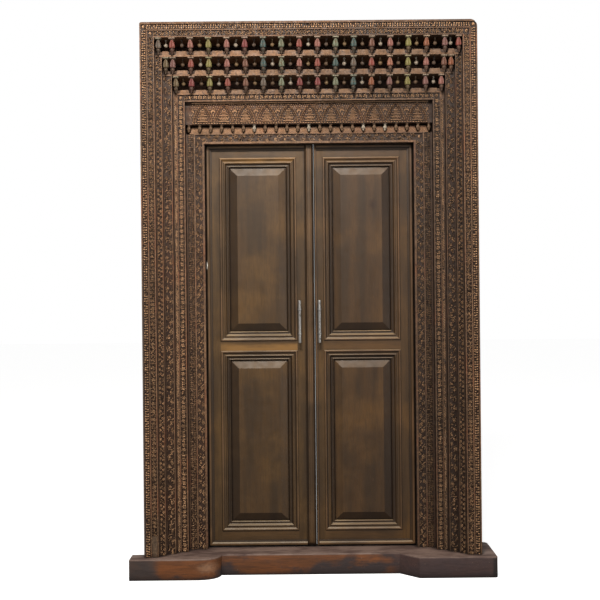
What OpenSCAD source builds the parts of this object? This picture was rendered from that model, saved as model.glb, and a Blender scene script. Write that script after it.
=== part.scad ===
// Carved double door in its stepped timber frame, standing on its threshold.
// The origin is the middle of the bounding box's bottom face: +Z is up and the carved face looks along -Y.
// Depths named *_set are counted back from the front of the threshold's horns.

/* [Opening and leaves] */
// Clear width between the inner jambs
opening_w = 1100; // [900:10:1400]
// Clear height from the threshold to the inner lintel
opening_h = 2128; // [1800:10:2400]
// Thickness of a door leaf
leaf_t = 44; // [38:1:60]
// Gap between a leaf's hinge edge and the rear post
side_gap = 3; // [2:0.5:5]
// Gap between the astragal and the right leaf, at the front
meet_gap = 6.4; // [6:0.2:12]
// Gap between the leaves at the back, where their bevelled edges come closest
meet_back_gap = 0.8; // [0.6:0.1:2]
// Gap under the leaves
floor_gap = 5; // [3:1:12]
// Overlap of the leaves behind the inner lintel, which stops them
stop_lap = 8; // [5:1:15]
// Gap between the leaves' front and the lintel that stops them
stop_gap = 1; // [0.5:0.5:3]

/* [Leaf framing] */
// Width of a hanging stile
hang_w = 70; // [55:1:110]
// Width of a meeting stile, without the astragal's seat
meet_w = 44; // [38:1:80]
// Height of the top rail
top_rail_h = 76; // [60:1:130]
// Height of the middle rail
mid_rail_h = 50; // [40:1:120]
// Height of the bottom rail
bottom_rail_h = 78; // [65:1:160]
// Height of the lower panel opening
lower_open_h = 955; // [500:5:1100]
// Depth of the groove that holds the panels
groove_d = 14; // [8:1:20]
// Width of that groove
groove_w = 12; // [8:0.5:14]
// Set-back of that groove from the leaf's front
groove_set = 18; // [14:1:20]
// Play of a panel in its groove, each way
panel_play = 3; // [1:0.5:5]
// Clearance of tenons and tongues on each face
joint_clear = 0.1; // [0.05:0.05:0.3]

/* [Panels and mouldings] */
// Width of the panel moulding
moulding_w = 52; // [44:1:60]
// Width of a panel's bevel
bevel_w = 42; // [25:1:60]
// Rise of the field above the panel's edge, at the front
field_rise = 14; // [6:1:16]
// Rise of the field at the back
back_rise = 6; // [2:1:10]
// Clearance round the panel mouldings
moulding_clear = 0.2; // [0.1:0.1:0.5]
// Width of the rim moulding
rim_w = 29; // [20:1:36]
// Clearance between the rim moulding's top and the lintel's lower edge
rim_top_clear = 4; // [2:1:10]
// Width of the astragal
astragal_w = 46; // [30:1:60]
// How far the astragal stands out
astragal_t = 18; // [10:1:24]
// Width of the bead on the right leaf's meeting edge
bead_w = 10; // [6:1:11]

/* [Frame members] */
// Width of the inner jambs
inner_w = 95; // [75:1:130]
// Width of the fourth jambs, counted from outside
fourth_w = 60; // [50:1:90]
// Width of the third jambs
third_w = 47; // [40:1:70]
// Width of the second jambs
second_w = 34; // [28:1:50]
// Width of the outer jambs
outer_w = 74; // [70:1:110]
// Set-back of the outer members' face
outer_set = 43; // [30:1:60]
// Step from the outer members' face to the second
second_step = 33; // [31:1:45]
// Step from the second members' face to the third
third_step = 32; // [31:1:45]
// Step from the third members' face to the fourth
fourth_step = 47; // [36:1:60]
// Step from the fourth members' face to the inner
inner_step = 55; // [40:1:70]
// Depth of the inner members, front to back
inner_d = 52; // [40:1:70]
// Depth of the sunk ground under the carving
ground_d = 7; // [4:1:12]
// Extra width of the right rear post at its foot
post_kick = 35; // [0:1:60]
// Height over which that post spreads
kick_h = 1650; // [600:10:1700]

/* [Head] */
// Height of the inner lintel
inner_lintel_h = 52; // [50:1:90]
// Height of the row of small drops
small_row_h = 45; // [36:1:60]
// Height of the frieze panel
frieze_h = 115; // [90:1:160]
// Height of the fourth lintel
fourth_lintel_h = 60; // [54:1:90]
// Height of each open tier
tier_h = 64; // [60:1:90]
// Height of the lintels between tiers
tier_lintel_h = 28; // [26:1:45]
// Height of the outer head
outer_head_h = 78; // [72:1:110]
// Set-back of the frieze panel behind the fourth lintel
frieze_set = 30; // [20:1:50]
// Worn radius of the head's right top corner
worn_corner_r = 36; // [10:1:60]
// Worn radius of the head's left top corner
small_corner_r = 10; // [4:1:30]

/* [Drops and knobs] */
// Number of drops in a tier, without the end ones
drop_count = 16; // [8:2:20]
// Width of a drop's square cap
drop_cap_w = 32; // [24:1:36]
// Greatest radius of a drop
drop_r = 15; // [10:0.5:16]
// Length of a drop
drop_l = 88; // [80:1:90]
// Width of the notches behind the drops' tips, at the lintel's top
notch_w = 41; // [30:1:50]
// Width of those notches at their foot
notch_low_w = 32; // [20:1:40]
// Depth of those notches
notch_d = 14; // [6:1:16]
// Height of the edge left under those notches
notch_edge = 8; // [6:1:12]
// Inset of the end drops from the jamb beside them
end_inset = 19; // [17:1:24]
// Inset of the outermost column from the third jamb's inner face
column_inset = 8; // [0:1:20]
// Radius of a knob's ball
knob_r = 11; // [7:0.5:13]
// Radius of a knob's cap
knob_cap_r = 7; // [6:0.5:9]
// Radius of a knob's stem
knob_stem_r = 4; // [3:0.5:5]
// Length of a knob
knob_l = 42; // [34:1:50]
// Set-back of the knobs behind the drops
knob_set = 40; // [30:1:50]
// Number of small drops under the frieze
small_drop_count = 23; // [15:2:27]
// Radius of a small drop
small_drop_r = 11; // [7:0.5:13]
// Length of a small drop
small_drop_l = 40; // [30:1:44]

/* [Threshold] */
// Height of the threshold
sill_h = 107; // [80:1:150]
// Depth of the threshold
sill_d = 320; // [310:1:420]
// Length of each horn beyond the outer jamb
horn_l = 72; // [50:1:120]
// Depth of the left horn, which is notched behind
left_horn_d = 110; // [80:1:150]
// Set-back of the threshold's middle front
sill_set = 95; // [60:1:110]
// Inner end of the left horn's front, from the middle
left_front_x = 582; // [500:1:650]
// Run of the left horn's rounded end
left_run = 112; // [60:1:160]
// Inner end of the right horn's front, from the middle
right_front_x = 537; // [500:1:650]
// Run of the right horn's sloping end
right_run = 93; // [60:1:160]
// Radius of the right horn's back corner
horn_r = 30; // [10:1:60]

/* [Posts and head beam] */
// Height of the head beam
head_beam_h = 150; // [100:1:200]
// Height of the outer head left bare above the head board
board_drop = 43; // [20:1:60]
// Width of the posts' tenons
tenon_w = 90; // [60:1:120]
// Thickness of the posts' tenons
tenon_t = 16; // [12:1:20]
// Length of the posts' tenons
tenon_l = 50; // [30:1:80]
// Gap over the leaves, under the head beam
head_gap = 5; // [3:1:10]

/* [Handles] */
// Diameter of a handle's bar
bar_d = 15; // [12:1:20]
// Length of a handle's bar
bar_l = 225; // [180:5:300]
// Distance between a handle's two posts
bar_span = 129; // [90:1:180]
// Distance from the leaf's face to the bar's axis
bar_off = 40; // [32:1:55]
// Height of the handles' middle above the floor
handle_z = 1297; // [900:1:1400]
// Inset of the left handle from its leaf's edge
left_handle_inset = 31; // [22:1:32]
// Inset of the right handle from its leaf's edge
right_handle_inset = 21; // [21:1:32]
// Radius of a handle's rosette
rosette_r = 10; // [8:0.5:11]

/* [Hinges] */
// Height of a hinge
hinge_h = 100; // [80:5:125]
// Width of a hinge plate
plate_w = 30; // [22:1:36]
// Thickness of a hinge plate
plate_t = 2; // [1.5:0.5:3]
// Outer radius of the knuckles
knuckle_r = 6; // [5:0.5:8]
// Radius of a hinge pin
pin_r = 3; // [2.5:0.5:3.5]
// Clearance between a pin and its knuckles
pin_clear = 0.06; // [0.02:0.01:0.09]
// Gap between neighbouring knuckles
knuckle_gap = 0.3; // [0.2:0.1:0.6]
// Distance from a leaf's end to the nearest hinge
hinge_inset = 230; // [150:10:350]

/* [Hidden] */

LEFT = 1;
RIGHT = -1;

// half widths to the outer edge of each member, from the opening outwards
x_open = opening_w / 2;
x_inner = x_open + inner_w;
x_fourth = x_inner + fourth_w;
x_third = x_fourth + third_w;
x_second = x_third + second_w;
x_outer = x_second + outer_w;

// faces of the members, from the horns' front backwards
y_outer = outer_set;
y_second = y_outer + second_step;
y_third = y_second + third_step;
y_fourth = y_third + fourth_step;
y_inner = y_fourth + inner_step;
y_post = y_inner + inner_d;
y_leaf = y_post + stop_gap;
y_back = y_leaf + leaf_t;
y_frieze = y_fourth + frieze_set;

// levels, from the threshold upwards
z_open = sill_h + opening_h;
z_inner = z_open + inner_lintel_h;
z_frieze = z_inner + small_row_h;
z_frieze_top = z_frieze + frieze_h;
z_fourth = z_frieze_top + fourth_lintel_h;
z_third = z_fourth + tier_h;
z_third_top = z_third + tier_lintel_h;
z_second = z_third_top + tier_h;
z_second_top = z_second + tier_lintel_h;
z_outer = z_second_top + tier_h;
z_top = z_outer + outer_head_h;

// leaves, in the left leaf's place: u runs from its hinge edge towards the middle
leaf_w = x_open - side_gap - (astragal_w + meet_gap) / 2;
x_edge = -x_open + side_gap;
z_leaf = sill_h + floor_gap;
z_leaf_top = z_open + stop_lap;
z_lower = z_leaf + bottom_rail_h;
z_mid = z_lower + lower_open_h;
z_upper = z_mid + mid_rail_h;
z_upper_top = z_leaf_top - top_rail_h;
open_u = leaf_w - hang_w - meet_w;
z_rim_top = z_open - rim_top_clear;
meet_bevel = (meet_gap - meet_back_gap) / 2;
z_beam = z_leaf_top + head_gap;
z_beam_top = z_beam + head_beam_h;

// hinges
hinge_x = x_edge - side_gap / 2;
hinge_y = y_back + knuckle_r + 0.5;
knuckle_n = 5;
knuckle_l = hinge_h / knuckle_n;
hinge_zs = [z_leaf + hinge_inset, (z_leaf + z_leaf_top - hinge_h) / 2,
    z_leaf_top - hinge_inset - hinge_h];

column_half = x_fourth - column_inset;
column_pitch = 2 * column_half / (drop_count - 1);
drop_y_off = drop_cap_w / 2 + 1;
tier_one_xs = drop_xs(column_half, x_second - end_inset);
tier_two_xs = drop_xs(column_half, x_third - end_inset);
tier_three_xs = drop_xs(x_fourth - end_inset, 0);
fine = 0.01;

// widths of the carved rows, as [near, far] offsets from a member's inner edge
outer_rows = [[6, 34], [40, 67]];
fourth_rows = [[6, 36], [42, 55]];
inner_row = [11, 48];
inner_side_row = [55, 88];
second_row = [4, second_w - 4];
third_row = [4, third_w - 4];

// places of a tier's drops: the columns, then the end drops where a tier has room for them
function drop_xs(last_half, end_half) = concat(
    [for (i = [0 : drop_count - 1]) max(-last_half, min(last_half, -column_half + i * column_pitch))],
    end_half > last_half ? [-end_half, end_half] : []);

module placed() translate([0, -sill_d / 2, 0]) children();

module handed(side) mirror([side == RIGHT ? 1 : 0, 0, 0]) children();

// a carved row's sunk ground, running up both jambs and across the lintel
module arch_ground(x0, z0, y0, row, depth = ground_d) {
    difference() {
        translate([-x0 - row[1], y0 - 1, sill_h - 1])
            cube([2 * (x0 + row[1]), depth + 1, z0 + row[1] - sill_h + 1]);
        translate([-x0 - row[0], y0 - 2, sill_h - 2])
            cube([2 * (x0 + row[0]), depth + 4, z0 + row[0] - sill_h + 2]);
    }
}

// a carved row's sunk ground on one left jamb only
module upright_ground(x0, y0, top, row) {
    translate([-x0 - row[1], y0 - 1, sill_h - 1])
        cube([row[1] - row[0], ground_d + 1, top - sill_h + 2]);
}

module jamb_blank(x0, w, y0, top) {
    translate([-x0 - w, y0, sill_h]) cube([w, y_post - y0, top - sill_h]);
}

module lintel_blank(half, y0, z0, h) {
    translate([-half, y0, z0]) cube([2 * half, y_post - y0, h]);
}

// notches behind the tips of the drops that hang in front of a lintel
module tip_notches(xs, y0, z0, z1) {
    for (x = xs) translate([x, y0 + notch_d, 0]) rotate([90, 0, 0]) linear_extrude(notch_d + 1)
        polygon([[-notch_low_w / 2, z0], [notch_low_w / 2, z0], [notch_w / 2, z1 + fine],
            [-notch_w / 2, z1 + fine]]);
}

// a lintel between two tiers
module tier_lintel(half, y0, z0, xs) {
    color([0.45, 0.33, 0.23]) difference() {
        lintel_blank(half, y0, z0, tier_lintel_h);
        tip_notches(xs, y0, z0 + notch_edge, z0 + tier_lintel_h);
    }
}

module threshold_sill() {
    x_end = x_outer + horn_l;
    steps = 6;
    left_round = [for (i = [0 : steps]) let(a = 90 * i / steps)
        [-left_front_x + left_run * sin(a), sill_set * (1 - cos(a))]];
    back_round = [for (i = [0 : steps]) let(a = 90 * i / steps)
        [x_end - horn_r + horn_r * cos(a), sill_d - horn_r + horn_r * sin(a)]];
    plan = concat([[-x_end, 0]], left_round,
        [[right_front_x - right_run, sill_set], [right_front_x, 0], [x_end - 8, 0], [x_end, 8]],
        back_round, [[-x_outer, sill_d], [-x_outer, left_horn_d], [-x_end, left_horn_d]]);
    color([0.22, 0.16, 0.14]) difference() {
        linear_extrude(sill_h) polygon(plan);
        for (side = [LEFT, RIGHT]) handed(side) post_tenon(sill_h - tenon_l - 1, tenon_l + 2, joint_clear);
    }
}

module post_tenon(z0, l, clear) {
    x_mid = (x_open + x_outer) / 2;
    y_mid = (y_post + y_back) / 2;
    translate([-x_mid - tenon_w / 2 - clear, y_mid - tenon_t / 2 - clear, z0])
        cube([tenon_w + 2 * clear, tenon_t + 2 * clear, l]);
}

module rear_post(side, kick) {
    color([0.17, 0.12, 0.09]) handed(side) {
        difference() {
            union() {
                translate([0, y_back, 0]) rotate([90, 0, 0]) linear_extrude(y_back - y_post)
                    polygon([[-x_open, sill_h], [-x_open, z_beam], [-x_outer, z_beam],
                        [-x_outer, sill_h + kick_h], [-x_outer - kick, sill_h]]);
                post_tenon(sill_h - tenon_l, tenon_l + 1, 0);
                post_tenon(z_beam - 1, tenon_l + 1, 0);
            }
            for (z = hinge_zs) translate([-x_open - plate_t, y_back - plate_w, z])
                cube([plate_t + 1, plate_w + 1, hinge_h]);
        }
    }
}

module head_beam() {
    color([0.17, 0.12, 0.09]) difference() {
        translate([-x_outer, y_post, z_beam]) cube([2 * x_outer, y_back - y_post, head_beam_h]);
        for (side = [LEFT, RIGHT]) handed(side) post_tenon(z_beam - 1, tenon_l + 2, joint_clear);
    }
}

module head_board() {
    color([0.13, 0.09, 0.07]) translate([-x_outer, y_post, z_beam_top])
        cube([2 * x_outer, y_back - y_post, z_top - board_drop - z_beam_top]);
}

module outer_jamb(side) {
    color([0.42, 0.30, 0.22]) handed(side) difference() {
        jamb_blank(x_second, outer_w, y_outer, z_outer);
        for (row = outer_rows) arch_ground(x_second, z_outer, y_outer, row);
    }
}

module outer_head() {
    color([0.46, 0.34, 0.24]) difference() {
        lintel_blank(x_outer, y_outer, z_outer, outer_head_h);
        for (row = outer_rows) arch_ground(x_second, z_outer, y_outer, row);
        worn_corner(RIGHT, worn_corner_r);
        worn_corner(LEFT, small_corner_r);
    }
}

// what wear has taken off one top corner of the head
module worn_corner(side, r) {
    handed(side) difference() {
        translate([-x_outer - 1, y_outer - 1, z_top - r]) cube([r + 1, y_post - y_outer + 2, r + 1]);
        translate([-x_outer + r, y_post + 2, z_top - r]) rotate([90, 0, 0])
            cylinder(h = y_post - y_outer + 4, r = r, $fn = 48);
    }
}

module second_jamb(side) {
    color([0.38, 0.27, 0.20]) handed(side) difference() {
        jamb_blank(x_third, second_w, y_second, z_second);
        upright_ground(x_third, y_second, z_second, second_row);
    }
}

module second_lintel() tier_lintel(x_second, y_second, z_second, tier_one_xs);

module third_jamb(side) {
    color([0.40, 0.27, 0.19]) handed(side) difference() {
        jamb_blank(x_fourth, third_w, y_third, z_third);
        upright_ground(x_fourth, y_third, z_third, third_row);
    }
}

module third_lintel() tier_lintel(x_third, y_third, z_third, tier_two_xs);

module fourth_jamb(side) {
    color([0.40, 0.28, 0.20]) handed(side) difference() {
        jamb_blank(x_inner, fourth_w, y_fourth, z_frieze_top);
        arch_ground(x_inner, z_frieze_top, y_fourth, fourth_rows[0]);
        arch_ground(x_inner, z_frieze_top, y_fourth, fourth_rows[1], ground_d / 2);
    }
}

module fourth_lintel() {
    color([0.45, 0.33, 0.23]) difference() {
        lintel_blank(x_fourth, y_fourth, z_frieze_top, fourth_lintel_h);
        arch_ground(x_inner, z_frieze_top, y_fourth, fourth_rows[0]);
        tip_notches(tier_three_xs, y_fourth, z_frieze_top + fourth_rows[0][1] + notch_edge, z_fourth);
    }
}

module inner_jamb(side) {
    color([0.42, 0.27, 0.18]) handed(side) difference() {
        jamb_blank(x_open, inner_w, y_inner, z_open);
        arch_ground(x_open, z_open, y_inner, inner_row);
        upright_ground(x_open, y_inner, z_open, inner_side_row);
    }
}

module inner_lintel() {
    color([0.46, 0.33, 0.22]) difference() {
        lintel_blank(x_inner, y_inner, z_open, inner_lintel_h);
        arch_ground(x_open, z_open, y_inner, inner_row);
        for (side = [LEFT, RIGHT]) handed(side)
            upright_ground(x_open, y_inner, z_inner, inner_side_row);
    }
}

module frieze_panel() {
    color([0.52, 0.38, 0.26]) lintel_blank(x_inner, y_frieze, z_frieze, frieze_h);
}

// a hanging drop: square cap, bud that widens downwards, and a pointed turned tip
module drop(r, l) {
    cap_h = l * 0.11;
    bud_z = -l * 0.6;
    translate([-drop_cap_w / 2, -drop_cap_w / 2, -cap_h]) cube([drop_cap_w, drop_cap_w, cap_h]);
    rotate_extrude($fn = 32) polygon([[0, -cap_h + 1], [r * 0.5, -cap_h + 1], [r * 0.5, -l * 0.16],
        [r * 0.8, -l * 0.36], [r, -l * 0.56], [r * 0.92, bud_z], [r * 0.6, bud_z],
        [r * 0.75, -l * 0.68], [r * 0.8, -l * 0.74], [r * 0.45, -l * 0.9], [r * 0.2, -l], [0, -l]]);
}

module tier_drops(tint, y0, z0, xs) {
    color(tint) for (x = xs) translate([x, y0 + drop_y_off, z0]) drop(drop_r, drop_l);
}

// a knob: small cap, stem and ball, hung behind the drops and between them
module knob() {
    cap_h = knob_l / 6;
    rotate_extrude($fn = 32) polygon([[0, 0], [knob_cap_r, 0], [knob_cap_r, -cap_h],
        [knob_stem_r, -cap_h - 1], [knob_stem_r, -knob_l + 2 * knob_r],
        for (a = [50 : -20 : -70]) [knob_r * cos(a), -knob_l + knob_r + knob_r * sin(a)],
        [0, -knob_l]]);
}

// the knobs of one tier, midway between its columns; extra_half places one more beyond each end column
module tier_knobs(y0, z0, extra_half) {
    columns = [for (i = [0 : drop_count - 2]) -column_half + (i + 0.5) * column_pitch];
    extra_x = (column_half + extra_half) / 2;
    color([0.40, 0.38, 0.32]) for (x = concat(columns, extra_half > 0 ? [-extra_x, extra_x] : []))
        translate([x, y0 + drop_y_off + knob_set, z0]) knob();
}

module frieze_drops() {
    pitch = 2 * (x_inner - small_drop_r - 6) / (small_drop_count - 1);
    r = small_drop_r;
    l = small_drop_l;
    color([0.45, 0.33, 0.23]) for (i = [0 : small_drop_count - 1])
        translate([(i - (small_drop_count - 1) / 2) * pitch, y_frieze + r + 3, z_frieze])
            rotate_extrude($fn = 28) polygon([[0, 0], [r, 0], [r, -l * 0.12], [r * 0.5, -l * 0.2],
                [r * 0.9, -l * 0.4], [r, -l * 0.55], [r * 0.5, -l * 0.75], [r * 0.6, -l * 0.85],
                [r * 0.2, -l], [0, -l]]);
}

// left leaf's place to world, mirrored for the right leaf
module leaf_place(side) handed(side) translate([x_edge, y_leaf, 0]) children();

module hanging_stile(side) {
    color([0.30, 0.23, 0.14]) leaf_place(side) difference() {
        translate([0, 0, z_leaf]) cube([hang_w, leaf_t, z_leaf_top - z_leaf]);
        translate([hang_w - groove_d, groove_set, z_leaf - 1])
            cube([groove_d + 1, groove_w, z_leaf_top - z_leaf + 2]);
        for (z = hinge_zs) translate([-1, leaf_t - plate_w, z])
            cube([plate_t + 1, plate_w + 1, hinge_h]);
    }
}

// a meeting stile, its free edge bevelled so that it clears the other leaf's as it swings
module meeting_stile(side) {
    w = meet_w + (side == LEFT ? astragal_w : 0);
    color([0.30, 0.23, 0.14]) leaf_place(side) difference() {
        translate([leaf_w - meet_w, 0, z_leaf]) linear_extrude(z_leaf_top - z_leaf)
            polygon([[0, 0], [w, 0], [w + meet_bevel, leaf_t], [0, leaf_t]]);
        translate([leaf_w - meet_w - 1, groove_set, z_leaf - 1])
            cube([groove_d + 1, groove_w, z_leaf_top - z_leaf + 2]);
    }
}

// a rail between two stiles; panel_below and panel_above say which edges are grooved
module rail(side, z0, h, panel_below, panel_above) {
    low = panel_below ? groove_d : 0;
    high = panel_above ? groove_d : 0;
    tongue_l = groove_d - panel_play / 2;
    color([0.31, 0.24, 0.14]) leaf_place(side) difference() {
        union() {
            translate([hang_w, 0, z0]) cube([open_u, leaf_t, h]);
            translate([hang_w - tongue_l, groove_set + joint_clear, z0 + low])
                cube([open_u + 2 * tongue_l, groove_w - 2 * joint_clear, h - low - high]);
        }
        if (panel_below) translate([hang_w - 1, groove_set, z0 - 1])
            cube([open_u + 2, groove_w, groove_d + 1]);
        if (panel_above) translate([hang_w - 1, groove_set, z0 + h - groove_d])
            cube([open_u + 2, groove_w, groove_d + 1]);
    }
}

// a raised and fielded panel: one bevelled section crossed with another
module panel(side, z0, z1) {
    lap = groove_d - panel_play;
    margin = lap + moulding_w;
    front = groove_set + joint_clear;
    back = groove_set + groove_w - joint_clear;
    w = open_u + 2 * lap;
    h = z1 - z0 + 2 * lap;
    color([0.31, 0.23, 0.13]) leaf_place(side) translate([hang_w - lap, 0, z0 - lap]) intersection() {
        linear_extrude(h) polygon(panel_section(w, front, back, margin));
        translate([w, 0, 0]) rotate([0, -90, 0]) linear_extrude(w)
            polygon(panel_section(h, front, back, margin));
    }
}

function panel_section(w, front, back, margin) = [[0, front], [margin, front],
    [margin + bevel_w, front - field_rise], [w - margin - bevel_w, front - field_rise],
    [w - margin, front], [w, front], [w, back], [w - margin, back],
    [w - margin - bevel_w, back + back_rise], [margin + bevel_w, back + back_rise],
    [margin, back], [0, back]];

// a straight run of moulding along +X, its outer edge at z 0, mitred at both ends
module mitred_run(l, w, profile) {
    reach = 40;
    intersection() {
        rotate([90, 0, 90]) linear_extrude(l) polygon([for (p = profile) [-p[1], p[0]]]);
        translate([0, reach, 0]) rotate([90, 0, 0]) linear_extrude(2 * reach)
            polygon([[0, -fine], [l, -fine], [l - w, w], [w, w]]);
    }
}

// four mitred runs round a w by h rectangle in the XZ plane; their feet are at y 0
module mitred_frame(w, h, mw, profile) {
    mitred_run(w, mw, profile);
    translate([w, 0, h]) rotate([0, 180, 0]) mitred_run(w, mw, profile);
    translate([0, 0, h]) rotate([0, 90, 0]) mitred_run(h, mw, profile);
    translate([w, 0, 0]) rotate([0, -90, 0]) mitred_run(h, mw, profile);
}

// section of the panel moulding: [distance inwards, height above the panel's edge]
panel_moulding_profile = [[0, 0], [0, 21], [3, 23], [9, 23], [15, 18], [22, 17], [25, 19], [30, 18],
    [36, 11], [42, 10], [45, 12], [49, 11], [moulding_w, 6], [moulding_w, 0]];

module panel_moulding(side, z0, z1) {
    c = moulding_clear;
    color([0.36, 0.28, 0.16]) leaf_place(side)
        translate([hang_w + c, groove_set, z0 + c])
            mitred_frame(open_u - 2 * c, z1 - z0 - 2 * c, moulding_w, panel_moulding_profile);
}

// section of the rim moulding: [distance inwards, height above the leaf's face]
rim_profile = [[0, 0], [0, 6], [3, 9], [9, 10], [15, 9], [20, 5], [25, 4], [rim_w, 3], [rim_w, 0]];

module rim_moulding(side) {
    h = z_rim_top - z_leaf;
    color([0.36, 0.28, 0.16]) leaf_place(side) {
        intersection() {
            translate([0, 0, z_leaf]) mitred_frame(leaf_w + rim_w + 1, h, rim_w, rim_profile);
            translate([-1, -30, z_leaf - 1]) cube([leaf_w + 1 - (side == LEFT ? 0 : bead_w), 60, h + 2]);
        }
        if (side == RIGHT) translate([leaf_w - bead_w, -6, z_leaf])
            cube([bead_w, 6, h]);
    }
}

module astragal() {
    w = astragal_w;
    t = astragal_t;
    foot = 8;
    color([0.33, 0.26, 0.16]) leaf_place(LEFT) translate([leaf_w, 0, z_leaf]) difference() {
        linear_extrude(z_rim_top - z_leaf) polygon([[0, 0], [0, -t * 0.45], [w * 0.12, -t * 0.75],
            [w * 0.2, -t], [w * 0.8, -t], [w * 0.88, -t * 0.75], [w, -t * 0.45], [w, 0]]);
        translate([-1, -t - foot, 0]) rotate([-45, 0, 0]) cube([w + 2, foot * 2, foot * 1.5]);
    }
}

module handle(side, inset) {
    ring_r = bar_d / 2 + 2;
    color([0.62, 0.62, 0.60]) leaf_place(side) translate([leaf_w - inset, 0, handle_z]) {
        translate([0, -bar_off, -bar_l / 2]) cylinder(h = bar_l, d = bar_d, $fn = 48);
        for (s = [-1, 1]) translate([0, 0, s * bar_span / 2]) {
            translate([0, -bar_off, -4]) cylinder(h = 8, r = ring_r, $fn = 48);
            rotate([90, 0, 0]) cylinder(h = bar_off, r = bar_d / 3, $fn = 36);
            rotate([90, 0, 0]) cylinder(h = 4, r = rosette_r, $fn = 48);
        }
    }
}

// hinge parts in the left leaf's place, with the axis at hinge_x, hinge_y
module knuckles(which, z0) {
    for (k = [which : 2 : knuckle_n - 1]) translate([hinge_x, hinge_y, z0 + k * knuckle_l]) difference() {
        union() {
            translate([0, 0, knuckle_gap / 2])
                cylinder(h = knuckle_l - knuckle_gap, r = knuckle_r, $fn = 48);
            s = which == 0 ? -1 : 1;
            translate([s * side_gap / 2 - (s < 0 ? plate_t : 0), y_back - hinge_y - 1, knuckle_gap / 2])
                cube([plate_t, hinge_y - y_back + 1, knuckle_l - knuckle_gap]);
        }
        translate([0, 0, -1]) cylinder(h = knuckle_l + 2, r = pin_r + pin_clear, $fn = 48);
    }
}

module hinge_frame_plates(side) {
    color([0.20, 0.18, 0.16]) handed(side) for (z0 = hinge_zs) {
        translate([-x_open - plate_t, y_back - plate_w, z0]) cube([plate_t, plate_w, hinge_h]);
        knuckles(0, z0);
    }
}

module hinge_door_plates(side) {
    color([0.20, 0.18, 0.16]) handed(side) for (z0 = hinge_zs) {
        translate([x_edge, y_back - plate_w, z0]) cube([plate_t, plate_w, hinge_h]);
        knuckles(1, z0);
    }
}

module hinge_pins(side) {
    head = 3;
    color([0.28, 0.26, 0.24]) handed(side) for (z0 = hinge_zs) translate([hinge_x, hinge_y, z0]) {
        translate([0, 0, -1]) cylinder(h = hinge_h + 1 + head / 2, r = pin_r, $fn = 48);
        translate([0, 0, hinge_h]) cylinder(h = head, r = pin_r + 2, $fn = 48);
    }
}

placed() threshold_sill();
placed() rear_post(LEFT, 0);  // rear_post_left
placed() rear_post(RIGHT, post_kick);  // rear_post_right
placed() head_beam();
placed() head_board();
placed() outer_jamb(LEFT);  // outer_jamb_left
placed() outer_jamb(RIGHT);  // outer_jamb_right
placed() outer_head();
placed() second_jamb(LEFT);  // second_jamb_left
placed() second_jamb(RIGHT);  // second_jamb_right
placed() second_lintel();
placed() third_jamb(LEFT);  // third_jamb_left
placed() third_jamb(RIGHT);  // third_jamb_right
placed() third_lintel();
placed() fourth_jamb(LEFT);  // fourth_jamb_left
placed() fourth_jamb(RIGHT);  // fourth_jamb_right
placed() fourth_lintel();
placed() inner_jamb(LEFT);  // inner_jamb_left
placed() inner_jamb(RIGHT);  // inner_jamb_right
placed() inner_lintel();
placed() frieze_panel();
placed() frieze_drops();
placed()  // tier_one_drops
    tier_drops([0.62, 0.40, 0.34], y_outer, z_outer, tier_one_xs);
placed()  // tier_two_drops
    tier_drops([0.50, 0.50, 0.34], y_second, z_second, tier_two_xs);
placed()  // tier_three_drops
    tier_drops([0.55, 0.38, 0.30], y_third, z_third, tier_three_xs);
placed()  // tier_one_knobs
    tier_knobs(y_outer, z_outer, x_second - end_inset);
placed()  // tier_two_knobs
    tier_knobs(y_second, z_second, 0);
placed()  // tier_three_knobs
    tier_knobs(y_third, z_third, 0);
placed() hanging_stile(LEFT);  // left_hanging_stile
placed() meeting_stile(LEFT);  // left_meeting_stile
placed() rail(LEFT, z_upper_top, top_rail_h, true, false);  // left_top_rail
placed() rail(LEFT, z_mid, mid_rail_h, true, true);  // left_mid_rail
placed() rail(LEFT, z_leaf, bottom_rail_h, false, true);  // left_bottom_rail
placed() panel(LEFT, z_upper, z_upper_top);  // left_upper_panel
placed() panel(LEFT, z_lower, z_mid);  // left_lower_panel
placed() panel_moulding(LEFT, z_upper, z_upper_top);  // left_upper_moulding
placed() panel_moulding(LEFT, z_lower, z_mid);  // left_lower_moulding
placed() rim_moulding(LEFT);  // left_rim_moulding
placed() astragal();
placed() handle(LEFT, left_handle_inset);  // left_handle
placed() hanging_stile(RIGHT);  // right_hanging_stile
placed() meeting_stile(RIGHT);  // right_meeting_stile
placed() rail(RIGHT, z_upper_top, top_rail_h, true, false);  // right_top_rail
placed() rail(RIGHT, z_mid, mid_rail_h, true, true);  // right_mid_rail
placed() rail(RIGHT, z_leaf, bottom_rail_h, false, true);  // right_bottom_rail
placed() panel(RIGHT, z_upper, z_upper_top);  // right_upper_panel
placed() panel(RIGHT, z_lower, z_mid);  // right_lower_panel
placed() panel_moulding(RIGHT, z_upper, z_upper_top);  // right_upper_moulding
placed() panel_moulding(RIGHT, z_lower, z_mid);  // right_lower_moulding
placed() rim_moulding(RIGHT);  // right_rim_moulding
placed() handle(RIGHT, right_handle_inset);  // right_handle
placed() hinge_frame_plates(LEFT);  // left_hinge_frame_plates
placed() hinge_door_plates(LEFT);  // left_hinge_door_plates
placed() hinge_pins(LEFT);  // left_hinge_pins
placed() hinge_frame_plates(RIGHT);  // right_hinge_frame_plates
placed() hinge_door_plates(RIGHT);  // right_hinge_door_plates
placed() hinge_pins(RIGHT);  // right_hinge_pins
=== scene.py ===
"""Carved double door in its stepped timber frame: carving, drops, joinery, pulls, finishes and light."""

import logging
import math
from dataclasses import dataclass, field, replace
from enum import Enum

import bmesh
import bpy
import numpy as np
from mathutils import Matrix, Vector, noise


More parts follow.
